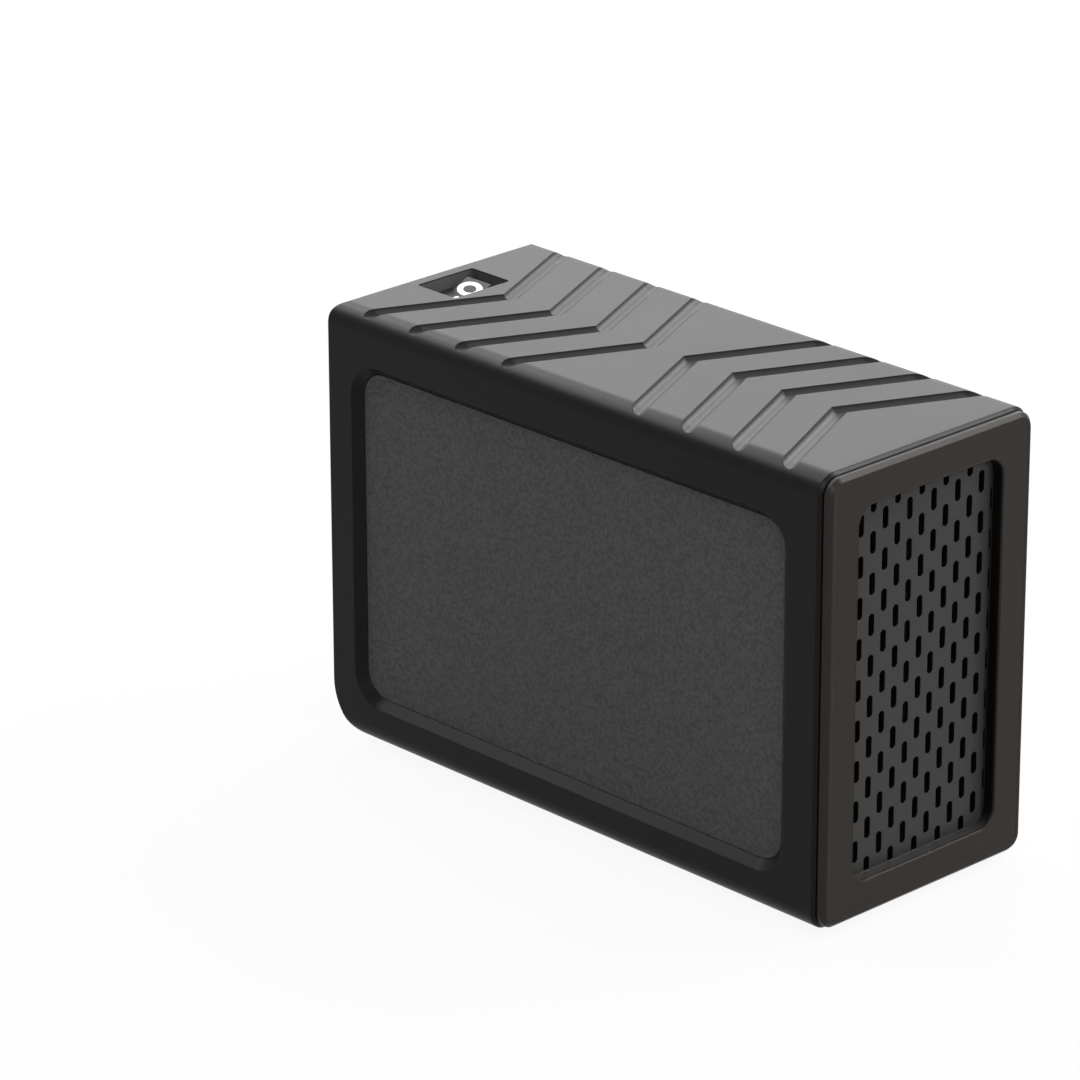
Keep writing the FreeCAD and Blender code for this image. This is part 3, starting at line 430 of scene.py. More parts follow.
def rounded_face(place, reach_y, reach_z, corner):
    """New face across the dock with rounded corners, left selected in edit mode."""
    bpy.ops.object.select_all(action="DESELECT")
    bpy.ops.mesh.primitive_plane_add(size=1.0, location=place, rotation=(0.0, math.pi / 2, 0.0))
    bpy.ops.object.mode_set(mode="EDIT")
    bpy.ops.mesh.select_all(action="SELECT")
    bpy.ops.transform.resize(value=(1.0, reach_y, reach_z))
    bpy.ops.mesh.bevel(offset=corner, segments=14, affect="VERTICES")
    bpy.ops.mesh.select_all(action="SELECT")
    return bpy.context.object


def push(depth):
    """Extrudes the selected face along the dock."""
    bpy.ops.mesh.extrude_region_move(TRANSFORM_OT_translate={"value": (depth, 0.0, 0.0)})


def close_back(ring, back):
    """Takes the flat faces off a ring's back and bridges its outer and inner edge."""
    bpy.ops.object.mode_set(mode="OBJECT")
    joined([ring], 30.0)
    for face in ring.data.polygons:
        face.select = face.center.x < back + BACK_SKIN and abs(face.normal.x) > 0.9
    bpy.ops.object.mode_set(mode="EDIT")
    bpy.ops.mesh.select_mode(type="FACE")
    bpy.ops.mesh.delete(type="FACE")
    bpy.ops.mesh.select_mode(type="EDGE")
    bpy.ops.mesh.select_all(action="DESELECT")
    bpy.ops.mesh.select_non_manifold()
    bpy.ops.mesh.bridge_edge_loops()
    bpy.ops.mesh.select_all(action="SELECT")
    bpy.ops.mesh.normals_make_consistent(inside=False)
    bpy.ops.object.mode_set(mode="OBJECT")


def apply_modifiers(piece):
    bpy.context.view_layer.objects.active = piece
    for modifier in list(piece.modifiers):
        bpy.ops.object.modifier_apply(modifier=modifier.name)


def joined(pieces, smooth=35.0):
    """One piece from several, with its transforms worked into the mesh."""
    bpy.ops.object.select_all(action="DESELECT")
    for piece in pieces:
        piece.select_set(True)
    bpy.context.view_layer.objects.active = pieces[0]
    if len(pieces) > 1:
        bpy.ops.object.join()
    bpy.ops.object.transform_apply(location=True, rotation=True, scale=True)
    bpy.ops.object.shade_smooth_by_angle(angle=math.radians(smooth))
    return bpy.context.object


def hand_over(piece, name, body, material):
    """Names a finished piece, gives it its finish and lets it ride on a body."""
    piece.name = name
    piece.data.materials.clear()
    piece.data.materials.append(material)
    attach(piece, body)


def dress(names, material):
    """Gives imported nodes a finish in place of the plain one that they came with."""
    for name in names:
        mesh = nodes[name].data
        mesh.materials.clear()
        mesh.materials.append(material)


class DockFinishes(bpy.types.PropertyGroup):
    shell: bpy.props.FloatVectorProperty(
        name="Shell", description="Satin black of the moulded shell", subtype="COLOR",
        default=(0.0046, 0.0040, 0.0038))
    # Painted light: the grooves are painted this paler black to stand in for the light that they catch
    groove_light: bpy.props.FloatVectorProperty(
        name="Grooves", description="Paler black down in the grooves", subtype="COLOR",
        default=(0.022, 0.022, 0.022))
    shell_rounding: bpy.props.FloatProperty(
        name="Shell rounding", description="Radius of the shell's long top edges", unit="LENGTH",
        default=6.0 * MM)
    # Painted light: the walls of the switch well are painted this paler grey to stand in for light that
    # they catch
    painted_well_light: bpy.props.FloatVectorProperty(
        name="Switch well", description="Grey of the walls round the rocker switch", subtype="COLOR",
        default=(0.075, 0.075, 0.075))
    well_margin: bpy.props.FloatProperty(
        name="Well margin", description="How far the well's grey reaches past the switch", unit="LENGTH",
        default=1.5 * MM)
    plate: bpy.props.FloatVectorProperty(
        name="Side plates", description="Grey of the grained side plates", subtype="COLOR",
        default=(0.062, 0.062, 0.062))
    door: bpy.props.FloatVectorProperty(
        name="Door", description="Warm dark grey of the slotted door", subtype="COLOR",
        default=(0.0195, 0.0160, 0.0140))
    grille: bpy.props.FloatVectorProperty(
        name="Grille", description="Grey of the slotted floor of the door's recess", subtype="COLOR",
        default=(0.034, 0.033, 0.032))
    door_roughness: bpy.props.FloatProperty(
        name="Door roughness", description="Blur of the reflections on the door", subtype="FACTOR",
        min=0.0, max=1.0, default=0.36)
    door_specular: bpy.props.FloatProperty(
        name="Door reflection", description="Strength of the reflections on the door", subtype="FACTOR",
        min=0.0, max=1.0, default=0.10)
    bays: bpy.props.FloatVectorProperty(
        name="Bays", description="Black of the drive bays, fan and rear panel", subtype="COLOR",
        default=(0.012, 0.012, 0.012))
    switch: bpy.props.FloatVectorProperty(
        name="Switch", description="Satin black of the rocker switch", subtype="COLOR",
        default=(0.012, 0.012, 0.012))
    mark: bpy.props.FloatVectorProperty(
        name="Switch marks", description="White of the marks printed on the rocker", subtype="COLOR",
        default=(0.85, 0.85, 0.85))
    rubber: bpy.props.FloatVectorProperty(
        name="Feet", description="Black of the rubber feet", subtype="COLOR",
        default=(0.015, 0.015, 0.015))
    board: bpy.props.FloatVectorProperty(
        name="Boards", description="Green of the circuit boards", subtype="COLOR",
        default=(0.012, 0.085, 0.040))
    copper: bpy.props.FloatVectorProperty(
        name="Tracks", description="Green of the lacquer over copper tracks", subtype="COLOR",
        default=(0.030, 0.150, 0.070))
    shell_roughness: bpy.props.FloatProperty(
        name="Shell roughness", description="Blur of the reflections on the shell", subtype="FACTOR",
        min=0.0, max=1.0, default=0.36)
    shell_specular: bpy.props.FloatProperty(
        name="Shell reflection", description="Strength of the reflections on the shell", subtype="FACTOR",
        min=0.0, max=1.0, default=0.10)


class DockDetails(bpy.types.PropertyGroup):
    rim_proud: bpy.props.FloatProperty(
        name="Rim proud", description="How far the rim stands over the door's solid", unit="LENGTH",
        default=0.02 * MM)
    rim_corner: bpy.props.FloatProperty(
        name="Rim corner", description="Corner radius of the rim", unit="LENGTH", default=5.0 * MM)
    rim_width: bpy.props.FloatProperty(
        name="Rim width", description="Width of the rim on the door's face", unit="LENGTH",
        default=2.3 * MM)
    rim_depth: bpy.props.FloatProperty(
        name="Rim depth", description="Depth of the rim along the dock", unit="LENGTH", default=2.4 * MM)
    rim_slope: bpy.props.FloatProperty(
        name="Rim slope", description="Legs of the slope round the rim's outer edge", unit="LENGTH",
        default=1.15 * MM)
    recess_half_y: bpy.props.FloatProperty(
        name="Recess half width", description="Half the width of the door's recess", unit="LENGTH",
        default=29.05 * MM)
    recess_half_z: bpy.props.FloatProperty(
        name="Recess half height", description="Half the height of the door's recess", unit="LENGTH",
        default=55.6 * MM)
    recess_corner: bpy.props.FloatProperty(
        name="Recess corner", description="Corner radius of the door's recess", unit="LENGTH",
        default=6.0 * MM)
    lip_land: bpy.props.FloatProperty(
        name="Lip land", description="Flat of the lip on the door's face", unit="LENGTH",
        default=0.25 * MM)
    lip_slope: bpy.props.FloatProperty(
        name="Lip slope", description="Legs of the lip's slope into the recess", unit="LENGTH",
        default=0.4 * MM)
    rocker_valley: bpy.props.FloatVectorProperty(
        name="Rocker valley", description="Middle of the line where the rocker's facets meet",
        subtype="XYZ", unit="LENGTH", default=(-84.25 * MM, -1.933 * MM, 130.915 * MM))
    rocker_slope: bpy.props.FloatProperty(
        name="Rocker slope", description="Slope of the raised facet", subtype="ANGLE",
        default=math.radians(24.0))
    ring_place: bpy.props.FloatProperty(
        name="Ring place", description="From the valley to the middle of the ring mark", unit="LENGTH",
        default=3.05 * MM)
    ring_radius: bpy.props.FloatProperty(
        name="Ring radius", description="Radius of the middle of the ring's line", unit="LENGTH",
        default=3.5 * MM)
    ring_line: bpy.props.FloatProperty(
        name="Ring line", description="Width of the ring's line", unit="LENGTH", default=2.2 * MM)
    ring_squash: bpy.props.FloatProperty(
        name="Ring squash", description="Height of the ring over its width", subtype="FACTOR",
        default=0.66)
    ink_flatness: bpy.props.FloatProperty(
        name="Ink flatness", description="Thickness of the ring over its line's width", subtype="FACTOR",
        default=0.04)
    ink_height: bpy.props.FloatProperty(
        name="Ink height", description="Height of the bar over its facet", unit="LENGTH",
        default=0.06 * MM)
    bar_place: bpy.props.FloatProperty(
        name="Bar place", description="From the valley to the middle of the bar mark", unit="LENGTH",
        default=3.9 * MM)
    bar_length: bpy.props.FloatProperty(
        name="Bar length", description="Length of the bar mark", unit="LENGTH", default=4.2 * MM)
    strip_length: bpy.props.FloatProperty(
        name="Strip length", description="Length of a contact strip", unit="LENGTH", default=4.8 * MM)
    strip_width: bpy.props.FloatProperty(
        name="Strip width", description="Width of a contact strip", unit="LENGTH", default=0.7 * MM)
    strip_thickness: bpy.props.FloatProperty(
        name="Strip thickness", description="Thickness of a contact strip", unit="LENGTH",
        default=0.3 * MM)
    strip_pitch: bpy.props.FloatProperty(
        name="Strip pitch", description="Between neighbouring strips", unit="LENGTH", default=1.27 * MM)
    strip_setback: bpy.props.FloatProperty(
        name="Strip setback", description="From the socket's face to its strips", unit="LENGTH",
        default=0.8 * MM)
    strip_offset: bpy.props.FloatProperty(
        name="Strip offset", description="From the socket's middle to its strips", unit="LENGTH",
        default=0.85 * MM)
    power_row: bpy.props.FloatProperty(
        name="Power row", description="From the socket's foot to its first power strip", unit="LENGTH",
        default=5.9 * MM)
    data_row: bpy.props.FloatProperty(
        name="Data row", description="From the socket's foot to its first data strip", unit="LENGTH",
        default=30.5 * MM)
    wide_tongue: bpy.props.FloatProperty(
        name="Wide tongue", description="Width of the port's wide tongue", unit="LENGTH",
        default=5.3 * MM)
    narrow_tongue: bpy.props.FloatProperty(
        name="Narrow tongue", description="Width of the port's narrow tongue", unit="LENGTH",
        default=3.0 * MM)
    pin_pitch: bpy.props.FloatProperty(
        name="Pin pitch", description="Between neighbouring pins on a tongue", unit="LENGTH",
        default=0.6 * MM)
    lead_count: bpy.props.IntProperty(
        name="Leads", description="Leads on each side of the bridge chip", default=12)
    lead_pitch: bpy.props.FloatProperty(
        name="Lead pitch", description="Between neighbouring leads", unit="LENGTH", default=0.7 * MM)
    lead_width: bpy.props.FloatProperty(
        name="Lead width", description="Width of a lead", unit="LENGTH", default=0.3 * MM)
    lead_length: bpy.props.FloatProperty(
        name="Lead length", description="Length of a lead", unit="LENGTH", default=1.2 * MM)
    lead_thickness: bpy.props.FloatProperty(
        name="Lead thickness", description="Half the height of a lead over the board", unit="LENGTH",
        default=0.12 * MM)
    lead_edge: bpy.props.FloatProperty(
        name="Lead edge", description="Rounding of a lead's edges", unit="LENGTH", default=0.05 * MM)
    part_length: bpy.props.FloatProperty(
        name="Part length", description="Length of a small chip part", unit="LENGTH", default=1.6 * MM)
    part_width: bpy.props.FloatProperty(
        name="Part width", description="Width of a small chip part", unit="LENGTH", default=0.8 * MM)
    part_height: bpy.props.FloatProperty(
        name="Part height", description="Height of a small chip part", unit="LENGTH", default=0.6 * MM)
    part_pitch: bpy.props.FloatProperty(
        name="Part pitch", description="Between neighbouring small parts", unit="LENGTH",
        default=2.0 * MM)
    part_spread: bpy.props.FloatProperty(
        name="Part spread", description="From the middle of the board to a group of parts", unit="LENGTH",
        default=14.0 * MM)


class DockStudio(bpy.types.PropertyGroup):
    azimuth: bpy.props.FloatProperty(
        name="Azimuth", description="Turn of the camera round the dock, from looking along +Y",
        subtype="ANGLE", default=math.radians(46.23))
    elevation: bpy.props.FloatProperty(
        name="Elevation", description="Height of the camera above the horizon", subtype="ANGLE",
        default=math.radians(21.75))
    roll: bpy.props.FloatProperty(
        name="Roll", description="Turn of the camera about its line of sight", subtype="ANGLE",
        default=math.radians(-0.14))
    distance: bpy.props.FloatProperty(
        name="Distance", description="From the camera to the point that it looks at", unit="LENGTH",
        default=1.6255)
    target: bpy.props.FloatVectorProperty(
        name="Target", description="Point in the middle of the picture", subtype="XYZ", unit="LENGTH",
        default=(-0.0284, -0.0247, 0.0768))
    lens: bpy.props.FloatProperty(
        name="Lens", description="Focal length on a 36 mm sensor", unit="CAMERA", default=190.5)
    ambient: bpy.props.FloatProperty(
        name="Ambient", description="Strength of the light from all round", min=0.0, default=0.15)
    back_panel: bpy.props.FloatProperty(
        name="Back panel", description="Power of the panel that shines along the top", unit="POWER",
        default=19.3)
    groove_panel: bpy.props.FloatProperty(
        name="Groove panel", description="Power of the panel that gleams in the grooves", unit="POWER",
        default=6.0)
    edge_panel: bpy.props.FloatProperty(
        name="Edge panel", description="Power of the panel that gleams along the long top edge",
        unit="POWER", default=18.0)
    rim_panel: bpy.props.FloatProperty(
        name="Rim panel", description="Power of the panel that gleams along the door's top edge",
        unit="POWER", default=19.0)
    side_panel: bpy.props.FloatProperty(
        name="Side panel", description="Power of the soft box that fills the long side", unit="POWER",
        default=14.0)
    front_panel: bpy.props.FloatProperty(
        name="Front panel", description="Power of the soft box that lights the door", unit="POWER",
        default=8.5)
    top_panel: bpy.props.FloatProperty(
        name="Top panel", description="Power of the soft box overhead", unit="POWER", default=6.0)
    floor: bpy.props.FloatVectorProperty(
        name="Floor", description="Colour of the pale floor", subtype="COLOR", default=(0.55, 0.55, 0.55))


class DressShell(bpy.types.Operator):
    """Satin moulded finish of the outer shell"""

    bl_idname = "dock.dress_shell"
    bl_label = "Dress Shell"

    def execute(self, context):
        dress(["outer_shell"], shell_plastic("shell_plastic", context.scene.dock_finishes, 0.5 * MM))
        return {"FINISHED"}


class DressSidePlates(bpy.types.Operator):
    """Sandy matte finish of the two plates in the long sides"""

    bl_idname = "dock.dress_side_plates"
    bl_label = "Dress Side Plates"

    def execute(self, context):
        look = context.scene.dock_finishes
        sandy = grained_plate("plate_texture", look.plate, roughness=0.72, specular=0.1, grain=900.0)
        dress(["right_side_panel", "left_side_panel"], sandy)
        return {"FINISHED"}


class DressDoor(bpy.types.Operator):
    """Warm matte finish of the slotted door, with painted shade in its recess"""

    bl_idname = "dock.dress_door"
    bl_label = "Dress Door"

    def execute(self, context):
        dress(["front_door"], door_plastic("door_plastic", context.scene.dock_finishes, 0.4 * MM))
        return {"FINISHED"}


class DressBays(bpy.types.Operator):
    """Matte black of the drive bays, the fan and the rear panel"""

    bl_idname = "dock.dress_bays"
    bl_label = "Dress Bays and Fan"

    def execute(self, context):
        look = context.scene.dock_finishes
        plastic = moulded_plastic("bay_plastic", look.bays, roughness=0.55, specular=0.3, grain=900.0,
                                  grain_depth=0.015 * MM, edge=0.25 * MM)
        names = [n for n in nodes if n.startswith("bay_") or n.endswith("_bay_wall")]
        names.remove("bay_screws")
        dress(names + ["rear_panel", "fan_frame", "fan_rotor"], plastic)
        return {"FINISHED"}


class DressBoards(bpy.types.Operator):
    """Lacquered boards with their chip, link, capacitors and sockets"""

    bl_idname = "dock.dress_boards"
    bl_label = "Dress Boards and Ports"

    def execute(self, context):
        look = context.scene.dock_finishes
        dress(["backplane_board", "port_board"], solder_mask("board", look.board, look.copper))
        connector = moulded_plastic("connector", CONNECTOR_BLACK, roughness=0.45, specular=0.4,
                                    grain=1600.0, grain_depth=0.006 * MM, edge=0.15 * MM)
        chip = moulded_plastic("chip", CHIP_BLACK, roughness=0.6, specular=0.35, grain=2200.0,
                               grain_depth=0.008 * MM, edge=0.1 * MM)
        sockets = ["right_sata_socket", "left_sata_socket", "board_link", "usb_tongue", "power_jack"]
        dress(sockets, connector)
        dress(["bridge_chip"], chip)
        dress(["filter_capacitors"], metal("can", CAN_SILVER, roughness=0.32, edge=0.3 * MM))
        dress(["usb_socket"], metal("port_steel", PORT_STEEL, roughness=0.28, edge=0.15 * MM))
        dress(["power_jack_pin", "switch_terminals"], metal("brass", BRASS, roughness=0.25, edge=0.15 * MM))
        dress(["fan_stator"], metal("winding", WINDING_COPPER, roughness=0.4, edge=0.2 * MM))
        return {"FINISHED"}


class DressFasteners(bpy.types.Operator):
    """Screws, magnets, catch plates and feet"""

    bl_idname = "dock.dress_fasteners"
    bl_label = "Dress Fasteners and Feet"

    def execute(self, context):
        look = context.scene.dock_finishes
        dress(["bay_screws", "rear_panel_screws", "fan_screws"],
              metal("black_screws", SCREW_BLACK, roughness=0.38, edge=0.15 * MM))
        dress(["backplane_screws", "port_board_screws", "catch_plates"],
              metal("plated_steel", PLATED_STEEL, roughness=0.3, edge=0.15 * MM))
        dress(["door_magnets"], metal("nickel", NICKEL, roughness=0.16, edge=0.2 * MM))
        rubber = moulded_plastic("rubber", look.rubber, roughness=0.8, specular=0.25, grain=700.0,
                                 grain_depth=0.03 * MM, edge=0.3 * MM)
        dress(["rubber_feet"], rubber)
        return {"FINISHED"}


class DressSwitch(bpy.types.Operator):
    """Satin black of the rocker switch"""

    bl_idname = "dock.dress_switch"
    bl_label = "Dress Switch"

    def execute(self, context):
        look = context.scene.dock_finishes
        satin = moulded_plastic("switch_plastic", look.switch, roughness=0.42, specular=0.12, grain=2000.0,
                                grain_depth=0.004 * MM, edge=0.3 * MM)
        dress(["switch_body", "switch_rocker"], satin)
        return {"FINISHED"}


class ModelDoorRim(bpy.types.Operator):
    """Crisp sloped rim round the door's face, over the rounded edge of its solid"""

    bl_idname = "dock.model_door_rim"
    bl_label = "Model Door Rim"

    def execute(self, context):
        sizes = context.scene.dock_details
        low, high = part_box("front_door")
        middle = (low + high) / 2
        back = high.x + sizes.rim_proud - sizes.rim_depth
        reach = (high - low) + Vector((0.0, 2 * sizes.rim_proud, 2 * sizes.rim_proud))
        rim = rounded_face((back, middle.y, middle.z), reach.y, reach.z, sizes.rim_corner)
        push(sizes.rim_depth - sizes.rim_slope)
        bpy.ops.mesh.inset(thickness=sizes.rim_slope, depth=sizes.rim_slope)
        bpy.ops.mesh.inset(thickness=sizes.rim_width - sizes.rim_slope)
        push(-sizes.rim_depth)
        close_back(rim, back)
        hand_over(rim, "door_rim", "door", nodes["front_door"].data.materials[0])
        return {"FINISHED"}


class ModelRecessLip(bpy.types.Operator):
    """Narrow sloped lip round the mouth of the door's recess"""

    bl_idname = "dock.model_recess_lip"
    bl_label = "Model Recess Lip"

    def execute(self, context):
        sizes = context.scene.dock_details
        low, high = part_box("front_door")
        middle = (low + high) / 2
        front = high.x + sizes.rim_proud
        back = front - 2 * sizes.lip_slope
        reach_y = 2 * (sizes.recess_half_y + sizes.lip_land)
        reach_z = 2 * (sizes.recess_half_z + sizes.lip_land)
        corner = sizes.recess_corner + sizes.lip_land
        lip = rounded_face((back, middle.y, middle.z), reach_y, reach_z, corner)
        push(front - back)
        bpy.ops.mesh.inset(thickness=sizes.lip_land)
        bpy.ops.mesh.inset(thickness=sizes.lip_slope, depth=-sizes.lip_slope)
        push(-sizes.lip_slope)
        close_back(lip, back)
        hand_over(lip, "recess_lip", "door", nodes["front_door"].data.materials[0])
        return {"FINISHED"}


class ModelSwitchMarks(bpy.types.Operator):
    """White ring and bar printed on the two facets of the rocker"""

    bl_idname = "dock.model_switch_marks"
    bl_label = "Model Switch Marks"

    def execute(self, context):
        sizes = context.scene.dock_details
        ink = print_ink("switch_ink", context.scene.dock_finishes.mark)
        valley = Vector(sizes.rocker_valley)
        slope = sizes.rocker_slope
        along = Vector((0.0, math.cos(slope), math.sin(slope)))
        bpy.ops.object.select_all(action="DESELECT")
        bpy.ops.mesh.primitive_torus_add(
            location=valley + along * sizes.ring_place, rotation=(slope, 0.0, 0.0), major_segments=72,
            minor_segments=12, major_radius=sizes.ring_radius, minor_radius=sizes.ring_line / 2)
        bpy.ops.object.mode_set(mode="EDIT")
        bpy.ops.mesh.select_all(action="SELECT")
        bpy.ops.transform.resize(value=(1.0, sizes.ring_squash, sizes.ink_flatness), orient_type="LOCAL")
        bpy.ops.object.mode_set(mode="OBJECT")
        hand_over(joined([bpy.context.object]), "switch_ring_mark", "rocker", ink)
        place = valley - Vector((0.0, sizes.bar_place, 0.0))
        reach = (sizes.ring_line / 2, sizes.bar_length, 2 * sizes.ink_height)
        bar = block(place, reach, sizes.ink_height / 2)
        hand_over(joined([bar]), "switch_bar_mark", "rocker", ink)
        return {"FINISHED"}


class ModelContacts(bpy.types.Operator):
    """Gilt contact strips in the drive sockets and on the tongues of the data port"""

    bl_idname = "dock.model_contacts"
    bl_label = "Model Contacts"

    def execute(self, context):
        sizes = context.scene.dock_details
        gilt = metal("contact_gilt", GILT, roughness=0.24, edge=0.05 * MM)
        for side in ("right", "left"):
            low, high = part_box(side + "_sata_socket")
            x = high.x - sizes.strip_length / 2 - sizes.strip_setback
            y = (low.y + high.y) / 2 + sizes.strip_offset
            size = (sizes.strip_length, sizes.strip_thickness, sizes.strip_width)
            step = (0.0, 0.0, sizes.strip_pitch)
            power = repeat(block((x, y, low.z + sizes.power_row), size, STRIP_EDGE), POWER_STRIPS, step)
            data = repeat(block((x, y, low.z + sizes.data_row), size, STRIP_EDGE), DATA_STRIPS, step)
            hand_over(joined([power, data]), side + "_socket_contacts", "housing", gilt)
        low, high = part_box("usb_tongue")
        rows = []
        for y in (low.y + sizes.wide_tongue / 2, high.y - sizes.narrow_tongue / 2):
            length = high.x - low.x
            place = (low.x + 0.4 * length, y - (TONGUE_PINS - 1) / 2 * sizes.pin_pitch, high.z)
            pin = block(place, (0.6 * length, 0.5 * sizes.pin_pitch, PIN_THICKNESS), PIN_EDGE)
            rows.append(repeat(pin, TONGUE_PINS, (0.0, sizes.pin_pitch, 0.0)))
        hand_over(joined(rows), "usb_contacts", "housing", gilt)
        return {"FINISHED"}


class ModelBoardParts(bpy.types.Operator):
    """Leads of the bridge chip and the small chip parts round it"""

    bl_idname = "dock.model_board_parts"
    bl_label = "Model Board Parts"

    def execute(self, context):
        sizes = context.scene.dock_details
        self.lead_chip(sizes)
        self.strew_parts(sizes)
        return {"FINISHED"}

    @staticmethod
    def lead_chip(sizes):
        low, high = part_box("bridge_chip")
        middle = (low + high) / 2
        run = (sizes.lead_count - 1) * sizes.lead_pitch / 2
        x = high.x - sizes.lead_thickness
        rows = []
        for side in (-1.0, 1.0):
            edge = middle.z + side * (high.z - low.z + sizes.lead_length) / 2
            reach = (2 * sizes.lead_thickness, sizes.lead_width, sizes.lead_length)
            lead = block((x, middle.y - run, edge), reach, sizes.lead_edge)
            rows.append(repeat(lead, sizes.lead_count, (0.0, sizes.lead_pitch, 0.0)))
            edge = middle.y + side * (high.y - low.y + sizes.lead_length) / 2
            reach = (2 * sizes.lead_thickness, sizes.lead_length, sizes.lead_width)
            lead = block((x, edge, middle.z - run), reach, sizes.lead_edge)
            rows.append(repeat(lead, sizes.lead_count, (0.0, 0.0, sizes.lead_pitch)))
        tin = metal("lead_tin", LEAD_TIN, roughness=0.35, edge=0.05 * MM)
        hand_over(joined(rows), "chip_leads", "housing", tin)

    @staticmethod
    def strew_parts(sizes):
        ceramic = moulded_plastic("chip_parts", CERAMIC, roughness=0.5, specular=0.4, grain=2600.0,
                                  grain_depth=0.004 * MM, edge=0.08 * MM)
        low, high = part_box("bridge_chip")
        reach = (sizes.part_height, sizes.part_width, sizes.part_length)
        x = high.x - sizes.part_height / 2
        rows = []
        for side in (-1.0, 1.0):
            for count, z in ((LOW_PARTS, low.z + sizes.part_length), (HIGH_PARTS, high.z)):
                y = side * sizes.part_spread - (count - 1) / 2 * sizes.part_pitch
                part = block((x, y, z), reach, PART_EDGE)
                rows.append(repeat(part, count, (0.0, sizes.part_pitch, 0.0)))
        hand_over(joined(rows), "chip_parts", "housing", ceramic)


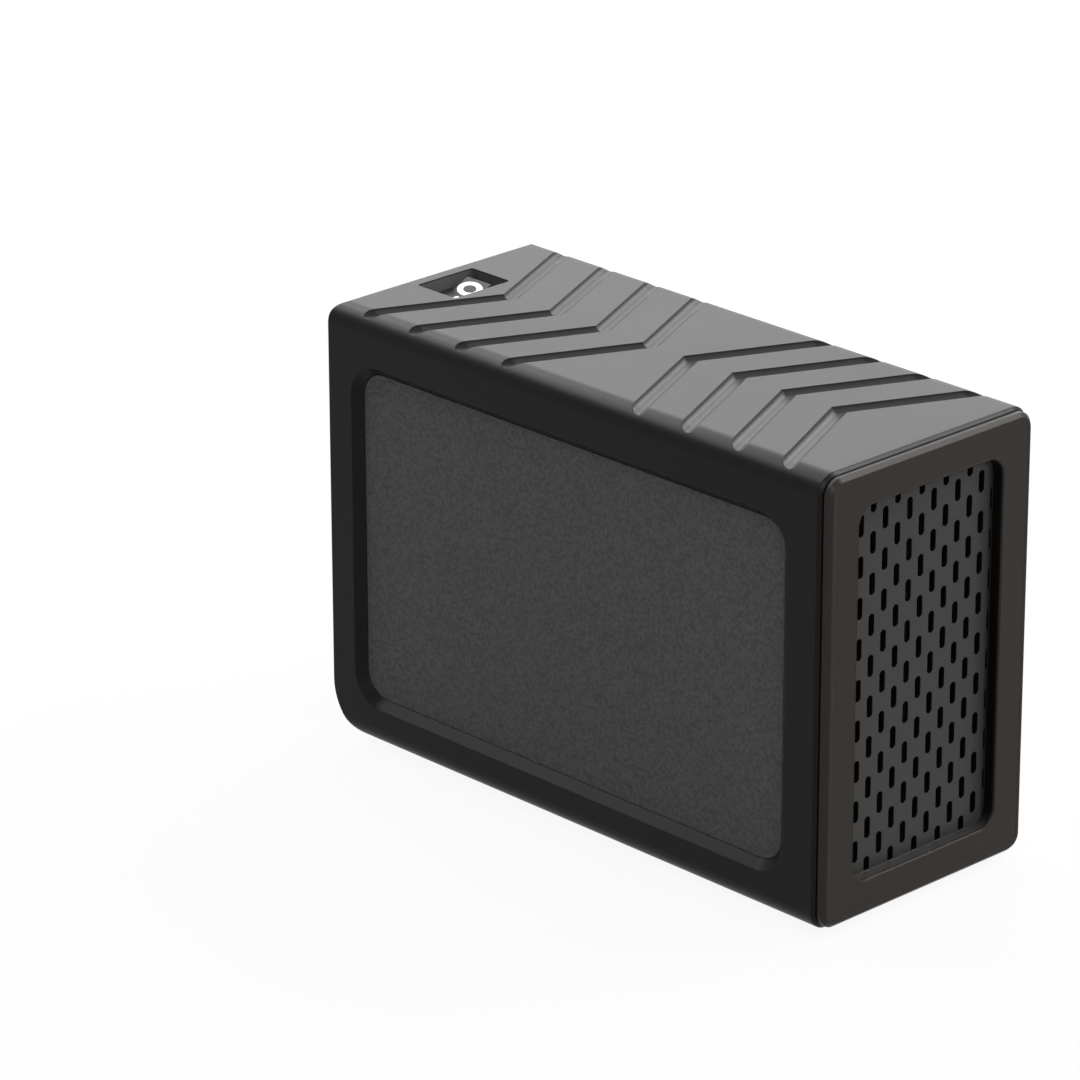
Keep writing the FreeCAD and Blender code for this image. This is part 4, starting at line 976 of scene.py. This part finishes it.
class BuildStudio(bpy.types.Operator):
    """Pale floor, soft panels, even ambient light and the camera"""

    bl_idname = "dock.build_studio"
    bl_label = "Build Studio"

    def execute(self, context):
        studio = context.scene.dock_studio
        self.lay_floor(studio)
        self.light_world(context.scene, studio)
        self.hang_panels(studio)
        self.set_camera(context.scene, studio)
        context.scene.view_settings.view_transform = "Standard"
        return {"FINISHED"}

    @staticmethod
    def seen(finish):
        """1 for rays that show the background: straight ones, reflections and rays through glass."""
        camera = finish.node("ShaderNodeLightPath", output="Is Camera Ray")
        glossy = finish.node("ShaderNodeLightPath", output="Is Glossy Ray")
        through = finish.node("ShaderNodeLightPath", output="Is Transmission Ray")
        return camera.larger(glossy).larger(through)

    def lay_floor(self, studio):
        bpy.ops.object.select_all(action="DESELECT")
        bpy.ops.mesh.primitive_plane_add(size=FLOOR_SIZE, location=(0.0, 0.0, -FLOOR_DROP))
        floor = bpy.context.object
        floor.name = "pale_floor"
        finish = new_finish("pale_floor")
        paper = finish.node("ShaderNodeBsdfDiffuse", inputs={"Color": solid(studio.floor)})
        white = finish.node("ShaderNodeEmission", inputs={"Color": solid(WHITE), "Strength": 1.0})
        share = self.seen(finish) * FLOOR_WHITE
        mixed = finish.node("ShaderNodeMixShader", inputs={0: share, 1: paper, 2: white})
        floor.data.materials.append(finish.finished(mixed))

    def light_world(self, scene, studio):
        scene.world = bpy.data.worlds.new("studio")
        finish = Finish(scene.world)
        soft, white = [
            finish.node("ShaderNodeBackground", inputs={"Color": solid(WHITE), "Strength": strength})
            for strength in (studio.ambient, 1.0)]
        mixed = finish.node("ShaderNodeMixShader", inputs={0: self.seen(finish), 1: soft, 2: white})
        finish.node("ShaderNodeOutputWorld", inputs={"Surface": mixed})

    def hang_panels(self, studio):
        for name, place, size in PANELS:
            self.hang(name, place, size, getattr(studio, name))

    @staticmethod
    def hang(name, place, size, power):
        data = bpy.data.lights.new(name, "AREA")
        data.shape = "RECTANGLE"
        data.size, data.size_y = size
        data.energy = power
        lamp = bpy.data.objects.new(name, data)
        lamp.location = place
        middle = (cad_low + cad_high) / 2
        lamp.rotation_euler = (middle - Vector(place)).to_track_quat("-Z", "Y").to_euler()
        bpy.context.scene.collection.objects.link(lamp)

    @staticmethod
    def set_camera(scene, studio):
        across = math.cos(studio.elevation)
        back = Vector((math.sin(studio.azimuth) * across, -math.cos(studio.azimuth) * across,
                       math.sin(studio.elevation)))
        data = bpy.data.cameras.new("camera")
        data.sensor_width = SENSOR_WIDTH
        data.lens = studio.lens
        data.clip_start, data.clip_end = CLIP_NEAR, CLIP_FAR
        camera = bpy.data.objects.new("camera", data)
        camera.location = Vector(studio.target) + back * studio.distance
        turn = (-back).to_track_quat("-Z", "Y").to_euler()
        turn.rotate_axis("Z", studio.roll)
        camera.rotation_euler = turn
        scene.collection.objects.link(camera)
        scene.camera = camera


class DockPanel(bpy.types.Panel):
    """Lists the steps and their settings"""

    bl_idname = "VIEW3D_PT_dock"
    bl_label = "Drive Dock"
    bl_space_type = "VIEW_3D"
    bl_region_type = "UI"
    bl_category = "Dock"

    def draw(self, context):
        layout = self.layout
        for step in STEPS:
            layout.operator(step.bl_idname)
        scene = context.scene
        for group in (scene.dock_finishes, scene.dock_details, scene.dock_studio):
            for name in group.__annotations__:
                layout.prop(group, name)


STEPS = (DressShell, DressSidePlates, DressDoor, DressBays, DressBoards, DressFasteners, DressSwitch,
         ModelDoorRim, ModelRecessLip, ModelSwitchMarks, ModelContacts, ModelBoardParts, BuildStudio)
CLASSES = (DockFinishes, DockDetails, DockStudio) + STEPS + (DockPanel,)


def register():
    for cls in CLASSES:
        bpy.utils.register_class(cls)
    bpy.types.Scene.dock_finishes = bpy.props.PointerProperty(type=DockFinishes)
    bpy.types.Scene.dock_details = bpy.props.PointerProperty(type=DockDetails)
    bpy.types.Scene.dock_studio = bpy.props.PointerProperty(type=DockStudio)


def unregister():
    del bpy.types.Scene.dock_studio
    del bpy.types.Scene.dock_details
    del bpy.types.Scene.dock_finishes
    for cls in reversed(CLASSES):
        bpy.utils.unregister_class(cls)


def main():
    register()
    bpy.ops.dock.dress_shell()
    bpy.ops.dock.dress_side_plates()
    bpy.ops.dock.dress_door()
    bpy.ops.dock.dress_bays()
    bpy.ops.dock.dress_boards()
    bpy.ops.dock.dress_fasteners()
    bpy.ops.dock.dress_switch()
    bpy.ops.dock.model_door_rim()
    bpy.ops.dock.model_recess_lip()
    bpy.ops.dock.model_switch_marks()
    bpy.ops.dock.model_contacts()
    bpy.ops.dock.model_board_parts()
    bpy.ops.dock.build_studio()


if __name__ == "__main__":
    main()
